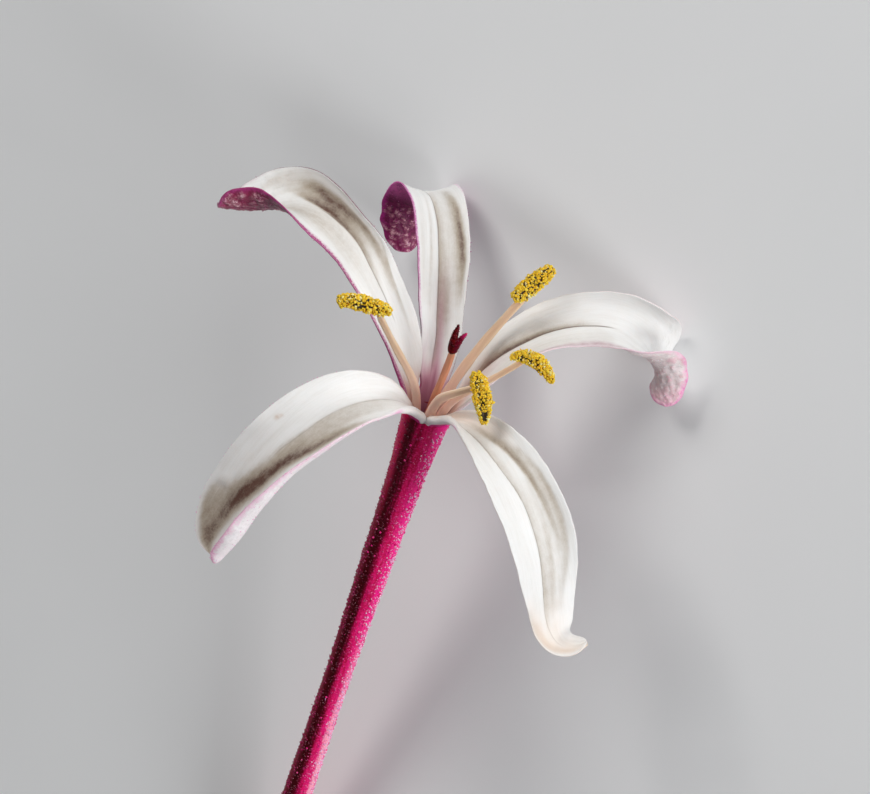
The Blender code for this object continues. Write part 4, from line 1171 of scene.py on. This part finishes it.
def petal(name, order):
    look = {**PETAL_USUAL, **LOOK_USUAL, **PETALS[name], **PETAL_LOOKS[name]}
    rng = np.random.default_rng(40 + order)
    s = petal_rows(look)
    u = np.linspace(-1.0, 1.0, COLUMNS + 1)
    half = petal_half(look, s, rng)
    points, tangent, normal = petal_middle(look, s, u, half)
    sheet = Sheet(s, u, half, look["length"])
    points = sheet.waved(points, normal, rng)
    ridges = sheet.ridges(rng)
    points = points + normal * sheet.dents(look["dents"])[..., None]
    marks = petal_marks(look, sheet, rng)
    inner, outer, depth = petal_faces(look, sheet, marks, points, normal, ridges)

    # Each loop: the inner face, a margin, the outer face backwards and the other margin
    margins = []
    for side, turns in ((-1, MARGIN_TURNS), (0, MARGIN_TURNS[::-1])):
        ends = (part[:, side] for part in (inner, outer, normal, tangent))
        margins.append(rounded_margin(*ends, turns))
    skin, faces = stack_loops(np.concatenate([inner, margins[0], outer[:, ::-1], margins[1]], axis=1))
    level = np.array(MARGIN_TURNS) / 180
    onto_back = np.concatenate([np.zeros(len(u)), level, np.ones(len(u)), level[::-1]])
    columns = [*range(COLUMNS + 1), *[COLUMNS] * 3, *range(COLUMNS, -1, -1), 0, 0, 0]

    def spread(grid):
        return capped(np.broadcast_to(grid, sheet.shape)[:, columns])

    back = capped(np.broadcast_to(onto_back, (len(s), len(columns))))
    lip = smooth(1.2 - (1 - np.abs(u[columns])) * sheet.half / (0.6 - 0.42 * onto_back))
    lip = lip * smooth(1 - (sheet.s - 0.1) / 0.14) * look["lip"]
    strap = [spread(sheet.u * sheet.half) + 20.0 * order, spread(sheet.mm_along), back * 3.0]
    values = {"strap": np.stack(strap, axis=1), "back": back, "lip": capped(lip)}
    values.update((key, spread(grid)) for key, grid in marks.items())
    make(name + "_skin", skin, faces, [petal_paint(name + "_skin", look)], "petal", values, node=name)
    beads = petal_beads(s, u, half, outer, normal, rng)
    bristles = petal_bristles(look["bristles"], s, inner, outer, depth, tangent, normal, rng)
    make_hairs(name + "_hairs", "petal", petal_hair_look(look), *join([beads, bristles]))


# Tube

UPWARD = np.array([[0, 0, 1.0]])
TUBE_SIDES = 112
TUBE_ROWS, TOP_ROWS = 300, 30
ROOTS_AT = 0.985
BEADS_ON_TUBE, HAIRS_ON_TUBE, GLINTS_ON_TUBE = 6900, 520, 8800
TUBE_SKIN, THROAT, CUT = 0, 1, 2
RIM = [(-0.25, 1.555), (-0.12, 1.5), (-0.06, 1.42), (-0.08, 1.33), (-0.2, 1.26)]
RIM_OUTSIDE = 3
THROAT_WALL = [
    (-0.6, 1.22), (-1.2, 1.18), (-2.2, 1.08), (-3.4, 0.96), (-5.0, 0.84), (-7.0, 0.74), (-7.4, 0.6),
    (-7.45, 0.3),
]
CUT_END = [
    (3.0, 0.3), (2.95, 0.6), (2.0, 0.64), (0.4, 0.66), (0.06, 0.68), (0.0, 0.74), (0.01, 0.82), (0.0, 0.9),
    (0.0, 0.95),
]


def tube_radii():
    """The tube's outer radius at many heights, rounded off where it turns."""
    table = np.array(TUBE_OUTER[::-1])
    z = np.linspace(TUBE_END_Z, TUBE_TOP_Z, 2000)
    radius = np.interp(z, table[:, 0], table[:, 1])
    kernel = np.hanning(61)
    padded = np.concatenate([np.full(30, radius[0]), radius, np.linspace(radius[-1], radius[-1] + 0.11, 30)])
    return z, np.convolve(padded, kernel / kernel.sum(), mode="valid")


def tube_skin(z_line, radius, rng):
    """The tube turned from its profile: the cut end, the outside, the mouth's rim and the throat."""
    lower = np.linspace(TUBE_END_Z + 0.06, -3.0, TUBE_ROWS)
    z_outer = np.concatenate([lower, np.linspace(-3.0, TUBE_TOP_Z, TOP_ROWS)[1:]])
    end = [(TUBE_END_Z + up, r) for up, r in CUT_END]
    profile = end + list(zip(z_outer, np.interp(z_outer, z_line, radius))) + RIM + THROAT_WALL
    zone = [CUT] * len(end) + [TUBE_SKIN] * (len(z_outer) + RIM_OUTSIDE)
    zone += [THROAT] * (len(profile) - len(zone))
    angle = np.linspace(-math.pi, math.pi, TUBE_SIDES, endpoint=False)
    flutes = ripple(rng, 3, 0.02, 0.06)
    loops = []
    for (z, r), kind in zip(profile, zone):
        shift = 0.6 * flutes(z)
        wobble = 1.0
        if kind == TUBE_SKIN and z < -0.8:
            wobble = 1 + 0.012 * np.cos(5 * angle + shift) + 0.006 * np.cos(9 * angle - 2 * shift)
            wobble = wobble - 0.02 * np.exp(-((angle + math.radians(24)) / 0.2) ** 2)
        r = r * wobble
        loops.append(np.stack([r * np.cos(angle), r * np.sin(angle), np.full(TUBE_SIDES, z)], axis=1))
    points, faces = stack_loops(np.array(loops))
    around = np.tile(angle, len(profile))
    radii = np.repeat([r for _, r in profile], TUBE_SIDES)
    strap = np.stack([around * radii, points[:-2, 2], radii], axis=1)
    values = {
        "strap": np.vstack([strap, [[0, 0, 0], [0, -7, 0]]]),
        "around": capped(np.degrees(around), 0.0, 0.0),
        "along": points[:, 2],
        "ring": capped(radii, 0.3, 0.3),
    }
    slots = np.repeat([*zone[:-1], CUT, THROAT], TUBE_SIDES)
    paints = [tube_paint(), throat_paint(), cut_paint()]
    make("tube_skin", points, faces, paints, "tube", values, slots, "flower_tube")


def tube():
    rng = np.random.default_rng(7)
    z_line, radius = tube_radii()
    tube_skin(z_line, radius, rng)

    def on_skin(count):
        """Random places on the tube, the ways out of it and round it, and the azimuths in degrees."""
        z = rng.uniform(TUBE_END_Z + 0.15, -0.55, count)
        turn = rng.uniform(-math.pi, math.pi, count)
        r = np.interp(z, z_line, radius) * ROOTS_AT
        way_out = np.stack([np.cos(turn), np.sin(turn), np.zeros(count)], axis=1)
        way_round = np.stack([-np.sin(turn), np.cos(turn), np.zeros(count)], axis=1)
        roots = way_out * r[:, None] + UPWARD * z[:, None]
        clear = inside(roots)
        return roots[clear], way_out[clear], way_round[clear], np.degrees(turn[clear])

    def dimmed(degrees, tint, head):
        """Beads in the bands of painted shade are painted dark as well."""
        dark = 0.6 * smooth((80 - np.abs(degrees + 52)) / 40)
        dark = np.maximum(dark, 0.95 * smooth((34 - np.abs(degrees + 27)) / 24))
        dark = np.maximum(dark, 0.5 * smooth((26 - np.abs(degrees - 128)) / 20))
        dark = each_point(dark * (rng.uniform(0, 1, len(degrees)) > 0.05), tint)
        return tint * (1 - dark), head * (1 - dark), dark

    def beads():
        roots, out, _, degrees = on_skin(BEADS_ON_TUBE)
        radii = 0.03 + 0.055 * rng.uniform(0, 1, len(roots)) ** 2
        radii = radii * (1 + 0.3 * smooth(1 - np.abs(degrees - 62) / 45))
        ways = out + 0.25 * rng.standard_normal(out.shape)
        lengths = radii * rng.uniform(0.9, 1.5, len(radii))
        points, faces, tint, head = hairs(rng, roots, ways, lengths, radii, 0.1, BEAD)
        # lit: beads painted brighter, with light heads, towards the side painted as lit
        lit = each_point(0.25 + 0.75 * smooth(1 - np.abs(degrees - 66) / 60), points)
        pale = smooth((30 - np.abs(degrees - 56)) / 20) * smooth((-15 - roots[:, 2]) / 9)
        pale = each_point(0.75 * pale, points)
        return points, faces, *dimmed(degrees, np.maximum(tint**2.2 * lit, pale), head * (tint > 0.5) * lit)

    def short_hairs():
        """Hairs laid along the tube."""
        roots, out, way_round, degrees = on_skin(HAIRS_ON_TUBE)
        ways = out + rng.uniform(0.6, 1.6, (len(roots), 1)) * UPWARD
        ways = ways + rng.uniform(-1.0, 1.0, (len(roots), 1)) * way_round
        lengths = rng.uniform(0.14, 0.26, len(roots))
        points, faces, *values = hairs(rng, roots, ways, lengths, rng.uniform(0.02, 0.03, len(roots)), 0.4)
        return points, faces, *dimmed(degrees, *values)

    def glints():
        """Small pale beads whose colour stands for painted glints, mostly on the side painted as lit."""
        roots, out, _, degrees = on_skin(GLINTS_ON_TUBE)
        kept = rng.uniform(0, 1, len(roots)) < smooth(1 - np.abs(degrees - 74) / 62)
        roots, ways = roots[kept], out[kept] + 0.5 * rng.standard_normal((kept.sum(), 3))
        radii = 0.024 + 0.03 * rng.uniform(0, 1, len(roots))
        return hairs(rng, roots, ways, radii * rng.uniform(1.2, 2.4, len(roots)), radii, 0.3, BEAD)

    grown = join([beads(), short_hairs()])
    make_hairs("tube_glints", "tube", ((1.0, 0.2, 0.42), (1.0, 0.62, 0.76), 0.15), *glints())
    make_hairs("tube_hairs", "tube", ((0.84, 0.008, 0.22), (1.0, 0.4, 0.66), 0.2), *grown)


# Stamens, style and stigma

STALK_SIDES = 28
STALK_ROWS, FOOT_ROWS, HEAD_ROWS = 60, 22, 6
STALK_BELOW = 4.2
ANTHER_SIDES = 40
ANTHER_ROWS = 46
CRUMBS = 1200
STIGMA_SIDES = 24
STIGMA_ROWS = 40
PAPILLAE = 90


def stalk_line(stalk, points=STALK_ROWS):
    """Points from a stalk's foot to its end."""
    s = np.linspace(0.0, 1.0, points)
    directions = heading(np.radians(through(stalk["lean"], s)), np.radians(through(stalk["azimuth"], s)))
    angle, ring = math.radians(stalk["foot"][0]), stalk["foot"][1]
    start = np.array([ring * math.cos(angle), ring * math.sin(angle), STALK_FOOT_Z])
    moves = (directions[:-1] + directions[1:]) / 2 * (stalk["length"] / (points - 1))
    return np.vstack([start, start + np.cumsum(moves, axis=0)])


def last_way(line):
    """The direction in which a line ends."""
    return (line[-1] - line[-2]) / np.linalg.norm(line[-1] - line[-2])


def stalk(name, paint, onward, slot):
    """A flattened stalk with a groove on its upper side, from deep in the throat into its anther."""
    values = STALKS[name]
    rng = np.random.default_rng(len(name) * 3 + 1)
    line = stalk_line(values)
    steps = np.linspace(1.0, 0.0, FOOT_ROWS)[:-1][:, None]
    inward = np.array([-line[0, 0], -line[0, 1], 0.0]) * 0.3
    below = line[0] + np.array([0, 0, -STALK_BELOW]) * steps + inward * steps**1.5
    beyond = line[-1] + last_way(line) * np.linspace(0, onward, HEAD_ROWS)[1:][:, None]
    radii = np.linspace(*values["radius"], len(line))
    narrower = radii[-1] * np.linspace(1, 0.75, HEAD_ROWS - 1)
    radii = np.concatenate([np.full(len(below), radii[0]), radii, narrower])
    line = np.vstack([below, line, beyond])
    mm_along = np.concatenate([[0], np.cumsum(np.linalg.norm(np.diff(line, axis=0), axis=1))]) - STALK_BELOW
    radii = radii * (1 + 0.05 * ripple(rng, 5, 0.1, 0.5)(mm_along))
    angle = np.linspace(-math.pi, math.pi, STALK_SIDES, endpoint=False)
    groove = 0.0 if name == "style" else 0.2
    wide, flat = {"style": (1.0, 1.0), "filament_upper_right": (1.3, 0.8)}.get(name, (1.14, 0.86))
    up = np.cos(angle) * flat * (1 - groove * np.exp(-(angle / 0.42) ** 2))
    section = spanned(*frames_along(line, (1.0, 0.0, 0.15)), up, np.sin(angle) * wide)
    points, faces = stack_loops(line[:, None] + radii[:, None, None] * section)
    around = np.tile(angle, len(line))
    along = np.repeat(mm_along, STALK_SIDES)
    strap = np.stack([around * np.repeat(radii, STALK_SIDES), along, np.zeros(len(along))], axis=1)
    values = {
        "strap": np.vstack([strap, strap[0], strap[-1]]),
        "around": capped(around, 0.0, 0.0),
        "along": capped(along, mm_along[0], mm_along[-1]),
    }
    make(name + "_skin", points, faces, [paint], slot, values, node=name)


def anther(name, seed, wall, pollen):
    """A dark wall that shows where its two lobes split, and the pollen crumbs all over it."""
    values = ANTHERS[name]
    rng = np.random.default_rng(90 + seed)
    first, last = (np.array(end) for end in values["ends"])
    bow = np.array(values["bow"])
    half_width, half_thick = values["half"][0] * 0.92, values["half"][1] * 0.95
    along = (last - first) / np.linalg.norm(last - first)
    facing = np.array([1.0, 0.0, 0.0]) - along * along[0]
    facing /= np.linalg.norm(facing)
    across = np.cross(facing, along)

    def surface(z, angle, shrink):
        """Points at shares z of the half length and angles round, a little under the surface."""
        ring = np.sqrt(np.maximum(1 - z * z, 0.0))
        middle = first + (last - first) * (0.5 + 0.5 * z)[:, None] + bow * (1 - z * z)[:, None]
        groove = 1 - 0.3 * np.abs(np.sin(angle)) ** 8
        clumps = np.sin(9.0 * z + 2.0 * angle + seed) * np.sin(3.0 * angle - 4.0 * z + 2 * seed)
        reach = ring**0.65 * groove * (1 - values["slimmer"] * smooth(z))
        lump = 0.05 * ring * clumps - shrink * ring
        out = across * ((reach * half_width + lump) * np.cos(angle))[:, None]
        out = out + facing * ((reach * half_thick + lump) * np.sin(angle))[:, None]
        return middle + out

    angle = np.linspace(0, ROUND, ANTHER_SIDES, endpoint=False)
    z_rows = np.sin(np.linspace(-math.pi / 2, math.pi / 2, ANTHER_ROWS + 2)[1:-1])
    loops = [surface(np.full(ANTHER_SIDES, z), angle, 0.09) for z in z_rows]
    make(name + "_wall", *stack_loops(np.array(loops)), [wall], "anther", node=name)
    z = np.clip(rng.uniform(-1.02, 1.02, CRUMBS), -0.985, 0.985)
    turn = rng.uniform(0, ROUND, CRUMBS)
    split = np.abs(np.sin(turn)) > (0.965 if name == "anther_left" else 0.98)
    pore = (name == "anther_front") & (z > 0.5) & (z < 0.94) & (np.abs(np.sin(turn) - 1) < 0.3)
    patches = np.sin(6 * z + 3 * turn + seed) * np.sin(5 * turn - 7 * z) + 0.4 * np.sin(13 * z + 2 * seed)
    patchy = patches < -0.9
    kept = ~(split | pore | patchy) | ((rng.uniform(0, 1, CRUMBS) < 0.15) & ~pore)
    z, turn = z[kept], turn[kept]
    sizes = 0.045 + 0.065 * rng.uniform(0, 1, len(z)) ** 1.4
    centres = surface(z, turn, 0.08) + 0.035 * rng.standard_normal((len(z), 3))
    points, faces, tint = grains(rng, centres, sizes)
    make(name + "_pollen", points, faces, [pollen], "anther", {"tint": tint})


def stigma():
    """Two tapering arms grown together at a short neck, with fine papillae on their sides."""
    rng = np.random.default_rng(5)
    style = stalk_line(STALKS["style"], 18)
    axis = last_way(style)
    base = style[-1] + axis * STIGMA_GAP
    fork = base + axis * STIGMA_NECK
    t = np.linspace(0.0, 1.0, STIGMA_ROWS)
    angle = np.linspace(0, ROUND, STIGMA_SIDES, endpoint=False)
    parts, roots, ways = [], [], []
    for arm in STIGMA_ARMS:
        tip = fork + np.array(arm["tip"]) - axis * 0.3
        tip = base + (tip - base) * arm["shorter"]
        middle = base + np.array(arm["side"]) * arm["bowed"]
        a, b, c = (1 - t[:, None]) ** 2, 2 * t[:, None] * (1 - t[:, None]), t[:, None] ** 2
        line = a * (base - axis * 0.1) + b * middle + c * tip
        radii = STIGMA_R * arm["thick"] * (1 - 0.82 * t ** arm["taper"])
        radii[:5] *= np.array([0.5, 0.68, 0.82, 0.92, 0.98])
        radii[-3:] *= np.array([1.0, 0.9, 0.7])
        ring = spanned(*frames_along(line, (1.0, 0.0, 0.2)), np.cos(angle), np.sin(angle))
        rough = 1 + 0.025 * rng.standard_normal((STIGMA_ROWS, STIGMA_SIDES))
        loops = line[:, None] + ring * (radii[:, None] * rough)[..., None]
        glow = (0.06 + 0.94 * smooth((t - 0.6) / 0.4)) * arm["bright"]
        parts.append((*stack_loops(loops), capped(np.repeat(glow, STIGMA_SIDES), glow[0], glow[-1])))
        row = rng.integers(14, 39, PAPILLAE)
        column = rng.integers(0, STIGMA_SIDES, PAPILLAE)
        roots.append(loops[row, column])
        ways.append(ring[row, column] + 0.4 * rng.standard_normal((PAPILLAE, 3)))
    points, faces, bright = join(parts)
    make("stigma_arms", points, faces, [stigma_paint()], "stigma", {"bright": bright}, node="stigma")
    roots, ways = np.vstack(roots), np.vstack(ways)
    lengths = rng.uniform(0.03, 0.06, len(roots))
    points, faces, tint, head = hairs(rng, roots, ways, lengths, lengths * 0.4, 0.1, BEAD)
    look = ((0.06, 0.001, 0.005), (0.4, 0.008, 0.06), 0.3)
    make_hairs("stigma_papillae", "stigma", look, points, faces, tint, head * 0.4)


tube()
for order, name in enumerate(PETALS):
    petal(name, order)
# Each filament's brightness: partly its own colour, partly painted light and shade
for name, tone_and_light in zip(STALKS, (0.8, 0.84, 1.0, 1.08)):
    stalk(name, filament_paint(name + "_skin", tone_and_light), 0.5, "filament")
stalk("style", style_paint(), 0.45, "style")
wall_material, pollen_material = anther_paint(), pollen_paint()
for order, name in enumerate(ANTHERS):
    anther(name, order, wall_material, pollen_material)
stigma()


# Studio: pale floor, soft lights and the photograph's camera

FLOOR_HALF = 9.0
FLOOR_Z = -0.00002
SENSOR = 36.0
CLIP = (0.01, 20.0)
SKY = (0.8, 0.82, 0.85, 1.0)
SKY_STRENGTH = 0.17


def make_floor():
    corners = [(x * FLOOR_HALF, y * FLOOR_HALF, FLOOR_Z) for x, y in ((-1, -1), (1, -1), (1, 1), (-1, 1))]
    mesh = bpy.data.meshes.new("floor")
    mesh.from_pydata(corners, [], [(0, 1, 2, 3)])
    mesh.materials.append(plain_paint("floor_paper", (0.86, 0.87, 0.88), 0.7))
    floor = linked("floor", mesh)


def photo_turn():
    """The photograph's directions in the scene: its right, its up and towards the camera."""
    tilt, toward = math.radians(LEAN_RIGHT), math.radians(TOWARD)
    up_side = (-math.sin(tilt) * math.sin(toward), -math.cos(tilt) * math.sin(toward), math.cos(toward))
    right_side = (math.cos(tilt), -math.sin(tilt), 0.0)
    mouth_axis = (math.sin(tilt) * math.cos(toward), math.cos(tilt) * math.cos(toward), math.sin(toward))
    return TURN @ Matrix([up_side, right_side, mouth_axis])


def from_mouth(offset):
    """A place given in the photograph's directions, in mm from the mouth, as metres in the scene."""
    return (Vector(MOUTH_AT) + photo @ Vector(offset)) * MM


def make_camera():
    data = bpy.data.cameras.new("camera")
    data.lens = LENS
    data.sensor_width = SENSOR
    data.clip_start, data.clip_end = CLIP
    camera = linked("camera", data)
    camera.matrix_world = Matrix.Translation(from_mouth((*CAMERA_ASIDE, CAMERA_AWAY))) @ photo.to_4x4()
    bpy.context.scene.camera = camera


def make_lamp(name, offset, size, power, colour=(1.0, 1.0, 1.0)):
    """A square soft light, aimed at the bloom."""
    data = bpy.data.lights.new(name, "AREA")
    data.shape = "SQUARE"
    data.size = size
    data.energy = power
    data.color = colour
    lamp = linked(name, data)
    lamp.location = from_mouth(offset)
    aim = Vector(MOUTH_AT) * MM - from_mouth(offset)
    lamp.rotation_euler = aim.to_track_quat("-Z", "Y").to_euler()


make_floor()
photo = photo_turn()
make_camera()
make_lamp("key", (-260, 330, 300), 0.2, 1.07, (1.0, 0.98, 0.95))
make_lamp("fill", (300, 60, 330), 0.3, 0.75, (0.99, 0.99, 1.0))
make_lamp("low_fill", (270, -250, 300), 0.14, 1.03)
make_lamp("top", (40, 360, 230), 0.2, 0.28)
world = bpy.data.worlds.new("studio")
world.use_nodes = True
world.node_tree.nodes["Background"].inputs[0].default_value = SKY
world.node_tree.nodes["Background"].inputs[1].default_value = SKY_STRENGTH
bpy.context.scene.world = world
bpy.context.scene.view_settings.view_transform = "Standard"
